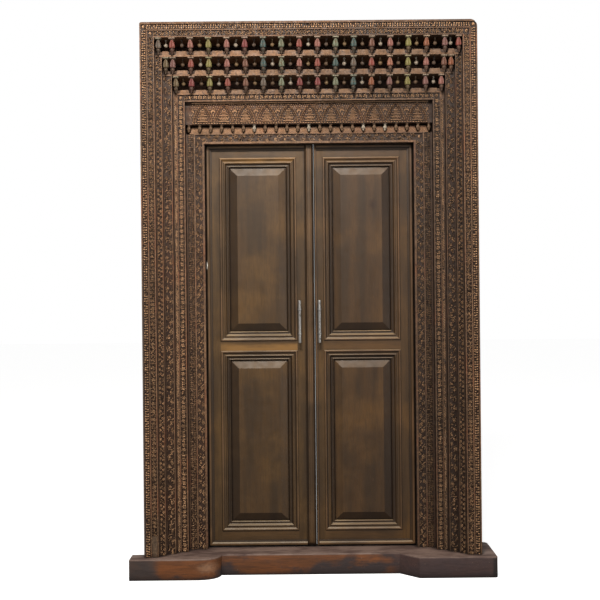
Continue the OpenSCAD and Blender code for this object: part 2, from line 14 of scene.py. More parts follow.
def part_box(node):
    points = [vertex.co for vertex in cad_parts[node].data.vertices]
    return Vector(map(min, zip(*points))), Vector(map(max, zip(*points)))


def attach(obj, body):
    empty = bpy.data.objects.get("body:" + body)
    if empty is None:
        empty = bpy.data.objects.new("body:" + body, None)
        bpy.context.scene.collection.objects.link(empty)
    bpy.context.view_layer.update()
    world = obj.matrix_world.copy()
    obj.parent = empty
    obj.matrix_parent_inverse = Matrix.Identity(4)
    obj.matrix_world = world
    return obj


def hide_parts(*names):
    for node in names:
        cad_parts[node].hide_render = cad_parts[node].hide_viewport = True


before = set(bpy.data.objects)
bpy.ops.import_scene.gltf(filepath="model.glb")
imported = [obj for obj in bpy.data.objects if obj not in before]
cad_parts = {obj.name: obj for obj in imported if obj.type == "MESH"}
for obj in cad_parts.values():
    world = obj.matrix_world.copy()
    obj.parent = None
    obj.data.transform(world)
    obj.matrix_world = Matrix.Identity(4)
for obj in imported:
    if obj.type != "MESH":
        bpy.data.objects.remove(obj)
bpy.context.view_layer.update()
LOG = logging.getLogger("carved_door")
MM = 0.001
HAND_SEED = 7
SMALL_DROPS = 23
SMALL_DROP_R = 0.011
# painted shade: the outer members' right side is darkened less than the others'
OUTER_PAINTED_SHADE = (244, 236, 228)

Rgb = tuple[float, float, float]
Point = tuple[float, float, float]
Flat = tuple[float, float]
Socket = bpy.types.NodeSocket
Material = bpy.types.Material
Node = bpy.types.Node
Object = bpy.types.Object
Mesh = bpy.types.Mesh


class Side(Enum):
    """Which half of the door a piece belongs to."""

    LEFT = -1
    RIGHT = 1


class Grain(Enum):
    """The direction in which a timber's fibres run."""

    ACROSS = (0.07, 1.0, 1.0)
    UPRIGHT = (1.0, 1.0, 0.07)


class Motif(Enum):
    """The carved patterns of the frame's rows."""

    HUSK = "husk"
    CHAIN = "chain"
    WAVE = "wave"
    VINE = "vine"
    LOZENGE = "lozenge"
    SCROLL = "scroll"
    BEADED = "beaded"
    REED = "reed"
    ROSETTE = "rosette"


def linear(rgb: Rgb) -> tuple[float, float, float, float]:
    """Turns a display colour into the linear colour that shaders use.

    Args:
        rgb: Red, green and blue from 0 to 255.

    Returns:
        The linear colour with alpha 1.
    """
    parts = [(c / 255.0) for c in rgb]
    return (*[p / 12.92 if p <= 0.04045 else ((p + 0.055) / 1.055) ** 2.4 for p in parts], 1.0)


# ---------------------------------------------------------------- finishes


class Wiring:
    """Adds and links the nodes of one tree."""

    def __init__(self, tree: bpy.types.NodeTree) -> None:
        """Starts on a tree."""
        self.tree = tree

    def feed(self, socket: Socket, value: object) -> None:
        """Links a socket to another, or sets its value.

        Args:
            socket: The input to fill.
            value: An output socket, a number or a colour.
        """
        if isinstance(value, Socket):
            self.tree.links.new(value, socket)
        else:
            socket.default_value = value

    def node(self, kind: str, inputs: dict[object, object] | None = None, **options: object) -> Node:
        """Adds a node.

        Args:
            kind: The node's type.
            inputs: Values or links by input name or index.
            options: The node's own properties.

        Returns:
            The new node.
        """
        made = self.tree.nodes.new(kind)
        for key, value in options.items():
            setattr(made, key, value)
        for key, value in (inputs or {}).items():
            self.feed(made.inputs[key], value)
        return made


class Shader(Wiring):
    """Wires the nodes of one material."""

    def __init__(self, name: str) -> None:
        """Starts a material with an empty node tree."""
        self.material = bpy.data.materials.new(name)
        self.material.use_nodes = True
        super().__init__(self.material.node_tree)
        self.tree.nodes.clear()

    def place(self, scale: Point = (1.0, 1.0, 1.0), shift: Point = (0.0, 0.0, 0.0)) -> Socket:
        """Returns the object's own coordinates, scaled and shifted."""
        own = self.node("ShaderNodeTexCoord").outputs["Object"]
        mapped = self.node("ShaderNodeMapping", {"Vector": own, "Scale": scale, "Location": shift})
        return mapped.outputs["Vector"]

    def cloud(self, where: object, scale: float, detail: float = 4.0, rough: float = 0.55) -> Socket:
        """Returns a noise value.

        Args:
            where: The coordinates.
            scale: How fine the noise is.
            detail: Its octaves.
            rough: Weight of the fine octaves.

        Returns:
            The value's socket.
        """
        fixed = {"Vector": where, "Scale": scale, "Detail": detail, "Roughness": rough}
        return self.node("ShaderNodeTexNoise", fixed).outputs["Fac"]

    def drilled(self, where: object, scale: float) -> Socket:
        """Returns the distance to the nearest of many scattered punch marks, as a share of their spacing."""
        made = self.node("ShaderNodeTexVoronoi", {"Vector": where, "Scale": scale, "Randomness": 0.75})
        return made.outputs["Distance"]

    def span(self, value: object, low: float, high: float, to: Flat = (0.0, 1.0)) -> Socket:
        """Returns value mapped smoothly from low..high to another range, clamped."""
        fixed = {"Value": value, "From Min": low, "From Max": high, "To Min": to[0], "To Max": to[1]}
        return self.node("ShaderNodeMapRange", fixed, interpolation_type="SMOOTHSTEP").outputs["Result"]

    def calc(self, kind: str, first: object, second: object = 0.0) -> Socket:
        """Returns the result of one sum on two values."""
        return self.node("ShaderNodeMath", {0: first, 1: second}, operation=kind).outputs[0]

    def mix(self, share: object, first: object, second: object, kind: str = "MIX") -> Socket:
        """Returns two colours mixed.

        Args:
            share: How much of the second shows.
            first: A display colour or a socket.
            second: A display colour or a socket.
            kind: The way they mix.

        Returns:
            The colour's socket.
        """
        made = self.tree.nodes.new("ShaderNodeMix")
        made.data_type = "RGBA"
        made.blend_type = kind
        self.feed(made.inputs[0], share)
        for key, colour in ((6, first), (7, second)):
            self.feed(made.inputs[key], linear(colour) if isinstance(colour, tuple) else colour)
        return made.outputs[2]

    def tint(self, under: object, colour: Rgb, mask: object, low: float, high: float, share: float) -> Socket:
        """Returns a colour with another laid over it where a mask is strong.

        Args:
            under: The colour or socket below.
            colour: The display colour laid over it.
            mask: The value that says where.
            low: The mask's value where none shows.
            high: The mask's value where the most shows.
            share: How much shows at most.

        Returns:
            The colour's socket.
        """
        return self.mix(self.span(mask, low, high, (0.0, share)), under, colour)

    def axis(self, name: str) -> Socket:
        """Returns one of the object's own coordinates, in metres."""
        own = self.node("ShaderNodeTexCoord").outputs["Object"]
        return self.node("ShaderNodeSeparateXYZ", {0: own}).outputs[name]

    def facing(self, name: str) -> Socket:
        """Returns X, Y or Z of the way the piece's own surface faces."""
        way = self.node("ShaderNodeTexCoord").outputs["Normal"]
        return self.node("ShaderNodeSeparateXYZ", {0: way}).outputs[name]

    def carried(self, name: str) -> Node:
        """Returns the node that reads an attribute of the mesh."""
        return self.node("ShaderNodeAttribute", attribute_name=name)

    def hollow(self, distance: float, samples: int = 6) -> Socket:
        """Returns how open the surface is: 0 deep in a recess and 1 in the open."""
        made = self.node("ShaderNodeAmbientOcclusion", {"Distance": distance}, samples=samples)
        return made.outputs["AO"]

    def bump(self, height: object, strength: float, depth: float, under: object = None) -> Socket:
        """Returns a normal raised by a height.

        Args:
            height: The height's socket.
            strength: How strongly it shows.
            depth: The height's full depth in metres.
            under: Another bump to add to.

        Returns:
            The normal's socket.
        """
        made = self.node("ShaderNodeBump", {"Height": height, "Strength": strength, "Distance": depth})
        if under is not None:
            self.feed(made.inputs["Normal"], under)
        return made.outputs["Normal"]

    def spot(self, centre: Point, size: Point, soft: Flat = (0.7, 1.1)) -> Socket:
        """Returns 1 inside a soft-edged patch of the surface and 0 outside.

        Args:
            centre: The patch's middle in metres.
            size: Its half sizes in metres.
            soft: Where its edge starts and ends, as shares of the size.

        Returns:
            The mask's socket.
        """
        scale = tuple(1.0 / s for s in size)
        shift = tuple(-c / s for c, s in zip(centre, size))
        away = self.node("ShaderNodeVectorMath", {0: self.place(scale, shift)}, operation="LENGTH")
        away = away.outputs["Value"]
        ragged = self.calc("ADD", away, self.span(self.cloud(self.place(), 55.0), 0.3, 0.7, (0.0, 0.25)))
        return self.span(ragged, soft[0], soft[1], (1.0, 0.0))

    def finish(self, colour: object, rough: object, normal: object, **fixed: object) -> Material:
        """Ends the tree in a Principled shader.

        Args:
            colour: The base colour.
            rough: The roughness.
            normal: The bumped normal, or None.
            fixed: Constant sockets by name, with _ for a space.

        Returns:
            The finished material.
        """
        shader = self.node("ShaderNodeBsdfPrincipled", {"Base Color": colour, "Roughness": rough})
        if normal is not None:
            self.feed(shader.inputs["Normal"], normal)
        for key, value in fixed.items():
            shader.inputs[key.replace("_", " ")].default_value = value
        out = self.node("ShaderNodeOutputMaterial")
        self.tree.links.new(shader.outputs[0], out.inputs["Surface"])
        return self.material


@dataclass(frozen=True)
class CarvedTimber:
    """Old oiled hardwood with dirt and painted shade in its recesses, pale wear on its crests and painted
    shade to the right.
    """

    name: str
    recess: Rgb = (34, 19, 10)
    body: Rgb = (118, 90, 65)
    crest: Rgb = (210, 170, 130)
    ruddy: Rgb = (136, 80, 50)
    grain: Grain = Grain.UPRIGHT
    relief: bool = False
    # painted shade: the colour the right side is multiplied by, as the light falls
    right_painted_shade: Rgb = (206, 200, 194)
    ground: float | None = None
    punched: float = 72.0

    def material(self) -> Material:
        """Returns the node material of this timber."""
        s = Shader(self.name)
        stretched = s.place(self.grain.value)
        fibres = s.cloud(stretched, 210.0, 5.0, 0.62)
        figure = s.cloud(stretched, 26.0, 3.0)
        stains = s.cloud(s.place(), 5.5, 5.0, 0.6)
        wood = s.mix(s.span(figure, 0.3, 0.7), self.body, tuple(c * 0.78 for c in self.body))
        wood = s.tint(wood, self.ruddy, stains, 0.46, 0.7, 0.5)
        wood = s.tint(wood, (104, 84, 60), stains, 0.44, 0.3, 0.4)
        wood = s.tint(wood, tuple(c * 0.6 for c in self.body), fibres, 0.38, 0.62, 0.45)
        if self.relief:
            high = s.carried("relief").outputs["Fac"]
            worn = s.calc("MULTIPLY", s.span(high, 0.45, 1.0), s.span(stains, 0.3, 0.6, (0.5, 1.0)))
            flecks = s.cloud(s.place(), 150.0, 4.0, 0.7)
            worn = s.calc("MULTIPLY", worn, s.span(flecks, 0.36, 0.56, (0.15, 1.0)))
            wood = s.mix(worn, wood, self.crest)
            # dirt and painted shade: the carving darkened towards its ground
            wood = s.mix(s.span(high, 0.1, 0.7, (0.95, 0.0)), wood, self.recess)
            if self.punched:
                punch = s.drilled(s.place(), self.punched)
                wood = s.tint(wood, self.crest, punch, 0.46, 0.7, 0.7)
                wood = s.tint(wood, self.recess, punch, 0.42, 0.26, 0.97)
            open_to = s.span(s.hollow(0.014, 4), 0.1, 0.6)
        else:
            nicks = s.cloud(s.place(), 95.0, 5.0, 0.7)
            wood = s.tint(wood, self.crest, nicks, 0.54, 0.72, 0.35)
            wood = s.tint(wood, self.recess, nicks, 0.48, 0.34, 0.8)
            if self.ground is not None:
                # dirt and painted shade on the row's sunk ground, and a painted dark shade line a little in
                # front of it
                away = s.calc("ABSOLUTE", s.calc("SUBTRACT", s.axis("Y"), self.ground))
                wood = s.tint(wood, self.recess, away, 0.0025, 0.0012, 0.8)
                away = s.calc("ABSOLUTE", s.calc("SUBTRACT", s.axis("Y"), self.ground - 0.0035))
                wood = s.tint(wood, (70, 38, 20), away, 0.0016, 0.0010, 0.6)
                # painted shade: side faces of the steps that face the door's middle are darkened
                inward = s.calc("MULTIPLY", s.facing("X"), s.span(s.axis("X"), -0.1, 0.1, (1.0, -1.0)))
                wood = s.tint(wood, (36, 20, 12), inward, 0.5, 0.8, 0.88)
                outside, low = s.span(s.axis("X"), -0.832, -0.85), s.span(s.axis("Z"), 2.0, 1.2)
                weathered = s.calc("MULTIPLY", outside, low)
                wood = s.mix(s.calc("MULTIPLY", weathered, 0.75), wood, (68, 62, 60))
            open_to = s.span(s.hollow(0.03), 0.35, 0.97)
        # painted shade: recesses darkened to the recess colour by ambient occlusion
        wood = s.mix(open_to, self.recess, wood)
        # painted shade: the frame multiplied darker towards its right side, as the light falls
        painted_side_shade = s.mix(s.span(s.axis("X"), -0.45, 0.45), (255, 248, 242), self.right_painted_shade)
        wood = s.mix(1.0, wood, painted_side_shade, "MULTIPLY")
        rough = s.span(s.cloud(s.place(), 40.0), 0.3, 0.7, (0.5, 0.8))
        lines = s.bump(fibres, 0.35, 0.0012)
        pitted = s.bump(s.cloud(s.place(), 90.0, 6.0), 0.3, 0.003, lines)
        return s.finish(wood, rough, pitted, Specular_IOR_Level=0.35)


@dataclass(frozen=True)
class LeafTimber:
    """Darkly oiled leaf timber with a satin surface, golden where it is rubbed, with painted light and shade
    by the way each face points.
    """

    name: str
    body: Rgb = (84, 65, 39)
    dark: Rgb = (56, 43, 27)
    gold: Rgb = (112, 88, 64)
    # dust and painted light on faces that point up
    dusty_top_light: Rgb = (150, 134, 108)
    grain: Grain = Grain.UPRIGHT
    relief: bool = False
    knot: Point | None = None
    # heights of a band that is partly gold wood and partly painted highlight
    gold_and_highlight_band: tuple[float, float, float, float] | None = None
    coat: float = 0.1

    def material(self) -> Material:
        """Returns the node material of this timber."""
        s = Shader(self.name)
        stretched = s.place(self.grain.value)
        fibres = s.cloud(stretched, 240.0, 6.0, 0.6)
        figure = s.cloud(stretched, 20.0, 4.0, 0.5)
        patina = s.cloud(s.place(), 3.2, 4.0, 0.55)
        wood = s.mix(s.span(figure, 0.3, 0.72), self.body, self.dark)
        wood = s.tint(wood, (112, 84, 42), patina, 0.42, 0.68, 0.5)
        wood = s.tint(wood, self.dark, fibres, 0.42, 0.64, 0.4)
        if self.relief:
            high = s.carried("relief").outputs["Fac"]
            rubbed = s.calc("MULTIPLY", s.span(high, 0.62, 1.0), s.span(patina, 0.34, 0.6, (0.12, 0.75)))
            wood = s.mix(rubbed, wood, self.gold)
            # painted shade: the mouldings darkened towards the grooves of their profile
            wood = s.mix(s.span(high, 0.1, 0.55, (0.8, 0.0)), wood, (30, 20, 12))
        scuffs = s.span(s.cloud(s.place((1.0, 1.0, 0.3)), 60.0, 7.0, 0.75), 0.62, 0.78, (0.0, 0.6))
        wood = s.mix(scuffs, wood, self.gold)
        # dust and painted light: faces that point up are lightened towards the dusty tone, as light falls from
        # above
        up = s.facing("Z")
        outward_way = s.calc("MULTIPLY", s.facing("X"), s.span(s.axis("X"), -0.02, 0.02, (-1.0, 1.0)))
        dust_and_top_light = s.calc("MULTIPLY", s.span(up, 0.2, 0.75), s.span(patina, 0.3, 0.6, (0.45, 1.0)))
        wood = s.mix(dust_and_top_light, wood, self.dusty_top_light)
        # painted shade: faces that point down are darkened
        wood = s.tint(wood, (28, 19, 12), up, -0.08, -0.4, 0.8)
        # painted shade: side faces darkened, most where they face the hanging side, less where they face the
        # meeting side
        wood = s.tint(wood, (34, 24, 14), outward_way, 0.06, 0.4, 0.75)
        wood = s.tint(wood, (34, 24, 14), outward_way, -0.2, -0.75, 0.6)
        # painted shade: hollows darkened by ambient occlusion
        open_to = s.span(s.hollow(0.02), 0.35, 0.9)
        wood = s.mix(open_to, (26, 17, 10), wood)
        if self.knot:
            stain = s.spot(self.knot, (0.026, 0.05, 0.034), (0.2, 1.3))
            wood = s.mix(s.calc("MULTIPLY", stain, 0.6), wood, (40, 22, 14))
        # gold wood and painted highlight: a warm band between two heights, stronger on the left leaf
        if self.gold_and_highlight_band:
            above, below = s.span(s.axis("Z"), *self.gold_and_highlight_band[:2]), s.span(s.axis("Z"), *self.gold_and_highlight_band[3:1:-1])
            gold_and_highlight = s.calc("MULTIPLY", above, below)
            gold_and_highlight = s.calc("MULTIPLY", gold_and_highlight, s.span(s.axis("X"), -0.12, 0.12, (0.8, 0.2)))
            streaks = s.cloud(s.place((0.3, 1.0, 1.0)), 18.0, 5.0)
            gold_and_highlight = s.calc("MULTIPLY", gold_and_highlight, s.span(streaks, 0.3, 0.6, (0.35, 1.0)))
            wood = s.mix(gold_and_highlight, wood, (140, 106, 58))
        # painted shade: the leaves multiplied darker, the right leaf more than the left, as the light falls
        painted_side_shade = s.mix(s.span(s.axis("X"), -0.1, 0.3), (240, 230, 214), (228, 212, 192))
        wood = s.mix(1.0, wood, painted_side_shade, "MULTIPLY")
        chip = s.spot((-0.5455, 0.11, 1.598), (0.0065, 0.05, 0.03), (0.6, 1.0))
        wood = s.mix(chip, wood, (236, 232, 222))
        joint = s.span(s.calc("ABSOLUTE", s.calc("SUBTRACT", s.axis("X"), 0.023)), 0.0036, 0.0032)
        wood = s.mix(joint, wood, (14, 10, 8))
        rough = s.span(s.cloud(s.place(), 26.0, 5.0), 0.3, 0.7, (0.42, 0.6))
        rough = s.calc("MAXIMUM", rough, joint)
        normal = s.bump(s.cloud(s.place(), 14.0, 3.0), 0.12, 0.006, s.bump(fibres, 0.22, 0.0008))
        return s.finish(wood, rough, normal, Specular_IOR_Level=0.35, Coat_Weight=self.coat,
                        Coat_Roughness=0.35)


@dataclass(frozen=True)
class ThresholdTimber:
    """The threshold's foot-worn top and its red-brown front under patches of black dirt."""

    name: str = "threshold_timber"

    def material(self) -> Material:
        """Returns the node material of the threshold."""
        s = Shader(self.name)
        stretched = s.place((0.1, 1.0, 1.0))
        fibres = s.cloud(stretched, 160.0, 6.0, 0.62)
        dirt = s.cloud(s.place((0.5, 1.0, 1.0)), 9.0, 5.0, 0.6)
        front = s.mix(s.span(s.cloud(stretched, 24.0), 0.3, 0.7), (116, 68, 34), (84, 52, 30))
        edge = s.calc("ADD", dirt, s.span(s.axis("Z"), 0.05, 0.0, (0.0, 0.09)))
        front = s.mix(s.span(edge, 0.48, 0.64), front, (56, 46, 45))
        front = s.tint(front, (62, 48, 47), s.axis("X"), 0.36, 0.47, 0.9)
        front = s.tint(front, (64, 54, 50), s.axis("X"), -0.77, -0.82, 0.85)
        front = s.tint(front, (30, 26, 25), s.axis("X"), 0.9, 0.915, 0.85)
        rubbed = s.spot((-0.54, -0.13, 0.06), (0.06, 0.09, 0.03), (0.3, 1.4))
        front = s.mix(s.calc("MULTIPLY", rubbed, 0.5), front, (158, 122, 94))
        top = s.mix(s.span(dirt, 0.4, 0.62), (124, 104, 94), (84, 66, 60))
        wood = s.mix(s.span(s.axis("Z"), 0.097, 0.104), front, top)
        wood = s.tint(wood, (40, 27, 22), fibres, 0.42, 0.66, 0.35)
        worn = s.span(s.cloud(s.place(), 70.0, 7.0, 0.72), 0.62, 0.76, (0.0, 0.6))
        wood = s.mix(worn, wood, (158, 130, 108))
        chalk = s.spot((0.475, -0.16, 0.075), (0.011, 0.02, 0.0035), (0.5, 1.0))
        wood = s.mix(chalk, wood, (226, 224, 216))
        # painted shade: hollows darkened by ambient occlusion
        wood = s.mix(s.span(s.hollow(0.04), 0.3, 0.95), (26, 16, 12), wood)
        normal = s.bump(fibres, 0.5, 0.002, s.bump(dirt, 0.35, 0.006))
        rough = s.span(dirt, 0.3, 0.7, (0.45, 0.75))
        return s.finish(wood, rough, normal, Specular_IOR_Level=0.35)


@dataclass(frozen=True)
class RoughTimber:
    """Sawn, unplaned timber at the frame's back."""

    name: str
    grain: Grain = Grain.UPRIGHT
    body: Rgb = (70, 48, 36)

    def material(self) -> Material:
        """Returns the node material of the sawn timber."""
        s = Shader(self.name)
        stretched = s.place(self.grain.value)
        fibres = s.cloud(stretched, 150.0, 7.0, 0.66)
        age = s.cloud(s.place(), 7.0, 6.0, 0.62)
        wood = s.mix(s.span(age, 0.35, 0.66), self.body, (44, 32, 27))
        wood = s.tint(wood, (26, 18, 15), fibres, 0.42, 0.62, 0.6)
        wood = s.tint(wood, (112, 88, 70), s.cloud(s.place(), 60.0, 6.0, 0.7), 0.6, 0.75, 0.4)
        fixed = {"Vector": s.place(), "Scale": 42.0, "Distortion": 2.5, "Detail": 3.0}
        cuts = s.node("ShaderNodeTexWave", fixed, bands_direction="DIAGONAL").outputs["Fac"]
        normal = s.bump(fibres, 0.6, 0.003, s.bump(cuts, 0.12, 0.001))
        return s.finish(wood, s.span(age, 0.2, 0.8, (0.72, 0.92)), normal, Specular_IOR_Level=0.25)


@dataclass(frozen=True)
class WornPaint:
    """Chalky old paint on turned wood, rubbed through on the ridges."""

    name: str
    bare: Rgb = (104, 78, 56)

    def material(self) -> Material:
        """Returns the node material of the paint; its colour comes from the mesh."""
        s = Shader(self.name)
        paint = s.carried("paint").outputs["Color"]
        high = s.carried("relief").outputs["Fac"]
        flakes = s.cloud(s.place(), 130.0, 6.0, 0.7)
        coat = s.mix(1.0, paint, (205, 200, 196), "MULTIPLY")
        coat = s.tint(coat, (58, 42, 33), flakes, 0.32, 0.66, 0.55)
        # grime and painted shade: the turned pieces darkened in their hollows and narrow necks
        coat = s.mix(s.span(high, 0.0, 0.55, (0.85, 0.0)), coat, (34, 24, 18))
        chips = s.calc("MULTIPLY", s.span(flakes, 0.54, 0.62), s.span(high, 0.2, 0.9, (0.4, 0.9)))
        coat = s.mix(chips, coat, self.bare)
        # painted shade: hollows darkened by ambient occlusion
        coat = s.mix(s.span(s.hollow(0.02, 4), 0.2, 0.8), (28, 20, 14), coat)
        normal = s.bump(flakes, 0.45, 0.0012)
        return s.finish(coat, s.span(flakes, 0.3, 0.7, (0.5, 0.75)), normal, Specular_IOR_Level=0.35)


@dataclass(frozen=True)
class Metal:
    """A worn metal with fine marks, patchy dirt and painted shade in its corners."""

    name: str
    clean: Rgb
    dirty: Rgb
    rough: Flat
    metallic: float = 1.0

    def material(self) -> Material:
        """Returns the node material of the metal."""
        s = Shader(self.name)
        marks = s.cloud(s.place((1.0, 1.0, 0.06)), 420.0, 5.0, 0.6)
        haze = s.cloud(s.place(), 60.0, 5.0, 0.6)
        tone = s.mix(s.span(haze, 0.45, 0.72), self.clean, self.dirty)
        # painted shade: corners darkened by ambient occlusion
        tone = s.mix(s.span(s.hollow(0.008), 0.3, 0.85), (24, 21, 19), tone)
        normal = s.bump(marks, 0.15, 0.0003, s.bump(haze, 0.1, 0.0008))
        return s.finish(tone, s.span(marks, 0.3, 0.7, self.rough), normal, Metallic=self.metallic)


@dataclass(frozen=True)
class PaleFloor:
    """The studio's matt floor."""

    name: str = "studio_floor"
    lift: float = 0.7

    def material(self) -> Material:
        """Returns the node material of the floor."""
        s = Shader(self.name)
        tone = s.mix(s.cloud(s.place(), 2.0), (247, 247, 246), (250, 250, 250))
        return s.finish(tone, 0.9, None, Specular_IOR_Level=0.1, Emission_Color=(1.0, 1.0, 1.0, 1.0),
                        Emission_Strength=self.lift)


class Palette:
    """Every finish of the door, made once."""

    def __init__(self) -> None:
        """Makes all the materials."""
        self.carving = CarvedTimber("carving_timber", relief=True).material()
        self.outer_carving = CarvedTimber("outer_carving_timber", relief=True, body=(112, 84, 60),
                                          right_painted_shade=OUTER_PAINTED_SHADE).material()
        self.frieze = CarvedTimber("frieze_carving", relief=True, body=(150, 114, 84), crest=(200, 162, 124),
                                   recess=(50, 30, 17), grain=Grain.ACROSS, punched=0.0).material()
        self.frieze_ground = CarvedTimber("frieze_ground", body=(84, 58, 38), grain=Grain.ACROSS).material()
        self.leaf_upright = LeafTimber("leaf_upright", coat=0.0).material()
        self.leaf_across = LeafTimber("leaf_across", grain=Grain.ACROSS, body=(86, 65, 38),
                                      gold_and_highlight_band=(1.08, 1.10, 1.17, 1.19)).material()
        self.leaf_panel = LeafTimber("leaf_panel", body=(78, 58, 33), knot=(0.335, 0.1, 1.915)).material()
        self.mould_upright = LeafTimber("moulding_upright", relief=True).material()
        self.mould_across = LeafTimber("moulding_across", relief=True, grain=Grain.ACROSS,
                                       gold_and_highlight_band=(2.13, 2.145, 2.175, 2.18)).material()
        self.threshold = ThresholdTimber().material()
        self.rough_upright = RoughTimber("sawn_upright").material()
        self.rough_across = RoughTimber("sawn_across", Grain.ACROSS).material()
        self.paint = WornPaint("worn_paint").material()
        self.steel = Metal("satin_steel", (168, 166, 162), (96, 92, 88), (0.34, 0.5), 0.75).material()
        self.iron = Metal("dark_iron", (74, 66, 60), (50, 34, 26), (0.5, 0.7), 0.85).material()


# ---------------------------------------------------------------- mesh making


class Sketch:
    """Closed shapes gathered into one mesh, each point with its relief from 0 (ground) to 1 (crest).

    Flat shapes are drawn in millimetres as (across, along) and rise towards the viewer, which is -Y.
    """

    def __init__(self) -> None:
        """Starts with nothing drawn."""
        self.points: list[Point] = []
        self.faces: list[tuple[int, ...]] = []
        self.relief: list[float] = []

    def add(self, points: list[Point], faces: list[tuple[int, ...]], relief: list[float]) -> None:
        """Adds one closed shape, its points in metres."""
        start = len(self.points)
        self.points += points
        self.faces += [tuple(start + i for i in f) for f in faces]
        self.relief += relief

    def rings(self, rings: list[list[Point]], relief: list[list[float]], loop: bool = False) -> None:
        """Joins equal rings of points into a tube, capped at its ends unless it closes on itself.

        Args:
            rings: The rings, each a list of points in metres.
            relief: The relief of each point.
            loop: True if the last ring joins the first.
        """
        n, m = len(rings), len(rings[0])
        faces = [(i * m + j, i * m + (j + 1) % m, (i + 1) % n * m + (j + 1) % m, (i + 1) % n * m + j)
                 for i in range(n if loop else n - 1) for j in range(m)]
        if not loop:
            faces += [tuple(range(m - 1, -1, -1)), tuple((n - 1) * m + j for j in range(m))]
        self.add([p for ring in rings for p in ring], faces, [v for row in relief for v in row])

    def ridge(self, path: list[Flat], width: float | list[float], height: float, loop: bool = False,
              foot: float = -1.0, tone: float = 1.0) -> None:
        """Draws a carved ridge along a flat path.

        Args:
            path: Its points in millimetres.
            width: Half its width, or one for each point.
            height: Its height.
            loop: True for a ring.
            foot: Where its sides end below the ground.
            tone: Share of the relief's tone that it takes.
        """
        n = len(path)
        rings: list[list[Point]] = []
        relief: list[list[float]] = []
        section = ((1, foot), (0.62, height * 0.72), (0, height), (-0.62, height * 0.72), (-1, foot))
        for i, (v, u) in enumerate(path):
            a = path[(i - 1) % n] if loop else path[max(i - 1, 0)]
            b = path[(i + 1) % n] if loop else path[min(i + 1, n - 1)]
            run = math.hypot(b[0] - a[0], b[1] - a[1]) or 1.0
            nv, nu = -(b[1] - a[1]) / run, (b[0] - a[0]) / run
            w = width[i] if isinstance(width, list) else width
            rings.append([((v + nv * w * k) * MM, -h * MM, (u + nu * w * k) * MM) for k, h in section])
            relief.append([0.0, 0.7 * tone, tone, 0.7 * tone, 0.0])
        self.rings(rings, relief, loop)

    def leaf(self, v: float, u: float, turn: float, length: float, width: float, height: float) -> None:
        """Draws a pointed leaf with a raised midrib.

        Args:
            v: Its root across the row, in millimetres.
            u: Its root along the row.
            turn: Its direction in degrees from along the row.
            length: Its length.
            width: Half its width.
            height: Its height.
        """
        c, s = math.cos(math.radians(turn)), math.sin(math.radians(turn))
        flat = [(0.0, 0.0, -1.0, 0.0), (0.45, 1.0, -1.0, 0.0), (1.0, 0.0, -1.0, 0.0), (0.45, -1.0, -1.0, 0.0),
                (0.18, 0.0, height * 0.75, 0.8), (0.6, 0.0, height, 1.0), (0.42, 0.55, height * 0.8, 0.75),
                (0.42, -0.55, height * 0.8, 0.75)]
        points = [((v + a * length * s + b * width * c) * MM, -h * MM,
                   (u + a * length * c - b * width * s) * MM) for a, b, h, _ in flat]
        faces = [(0, 1, 6, 4), (1, 2, 5, 6), (4, 6, 5), (0, 4, 7, 3), (3, 7, 5, 2), (4, 5, 7), (0, 3, 2, 1)]
        self.add(points, faces, [r for *_, r in flat])

    def dome(self, v: float, u: float, across: float, along: float, height: float, sides: int = 8) -> None:
        """Draws a rounded bead.

        Args:
            v: Its middle across the row, in millimetres.
            u: Its middle along the row.
            across: Half its width.
            along: Half its length.
            height: Its height.
            sides: Points round it.
        """
        rings, relief = [], []
        for k, h, r in ((1.0, -1.0, 0.0), (0.86, 0.5, 0.5), (0.5, 0.9, 0.9), (0.16, 1.0, 1.0)):
            rise = h if h < 0 else h * height
            rings.append([((v + across * k * math.cos(2 * math.pi * i / sides)) * MM, -rise * MM,
                           (u + along * k * math.sin(2 * math.pi * i / sides)) * MM) for i in range(sides)])
            relief.append([r] * sides)
        self.rings(rings, relief)

    def block(self, low: Flat, high: Flat, height: float, inset: float = 1.0, top: float = 1.0,
              tone: float = 1.0) -> None:
        """Draws a raised block with sloping sides.

        Args:
            low: Its low corner in millimetres.
            high: Its high corner.
            height: Its height.
            inset: How far its face is set in from its foot.
            top: Width of its upper edge as a share of the lower.
            tone: Share of the relief's tone that it takes.
        """
        mid, half = (low[0] + high[0]) / 2, (high[0] - low[0]) / 2
        rings, relief = [], []
        for inner, rise, r in ((0.0, -1.0, 0.0), (inset * 0.3, height * 0.8, 0.7), (inset, height, 1.0)):
            rings.append([((mid + k * (half * w - inner)) * MM, -rise * MM, z * MM)
                          for k, w, z in ((-1, 1, low[1] + inner), (1, 1, low[1] + inner),
                                          (1, top, high[1] - inner), (-1, top, high[1] - inner))])
            relief.append([r * tone] * 4)
        self.rings(rings, relief)

    def turned(self, profile: list[tuple[float, ...]], sides: int = 16, lobes: int = 0,
               depth: float = 0.0) -> None:
        """Draws a turned shape about the upright axis, closed on its axis at both ends.

        Args:
            profile: Rows of radius and height in millimetres, with the lobes' share where it isn't 0.
            sides: Points round it.
            lobes: Number of petals.
            depth: Depth of the hollows between them, as a share of the radius.
        """
        rings, relief = [], []
        largest = max(row[0] for row in profile)
        for radius, z, *share in profile:
            hollow = depth * share[0] if share and lobes else 0.0
            ring, marks = [], []
            for i in range(sides):
                a = 2 * math.pi * i / sides
                sink = hollow * (0.5 - 0.5 * math.cos(lobes * a))
                r = radius * (1 - sink)
                ring.append((r * math.cos(a) * MM, r * math.sin(a) * MM, z * MM))
                marks.append(max(0.0, min(1.0, radius / largest * 0.7 + 0.35 - sink * 3.0)))
            rings.append(ring)
            relief.append(marks)
        self.rings(rings, relief)

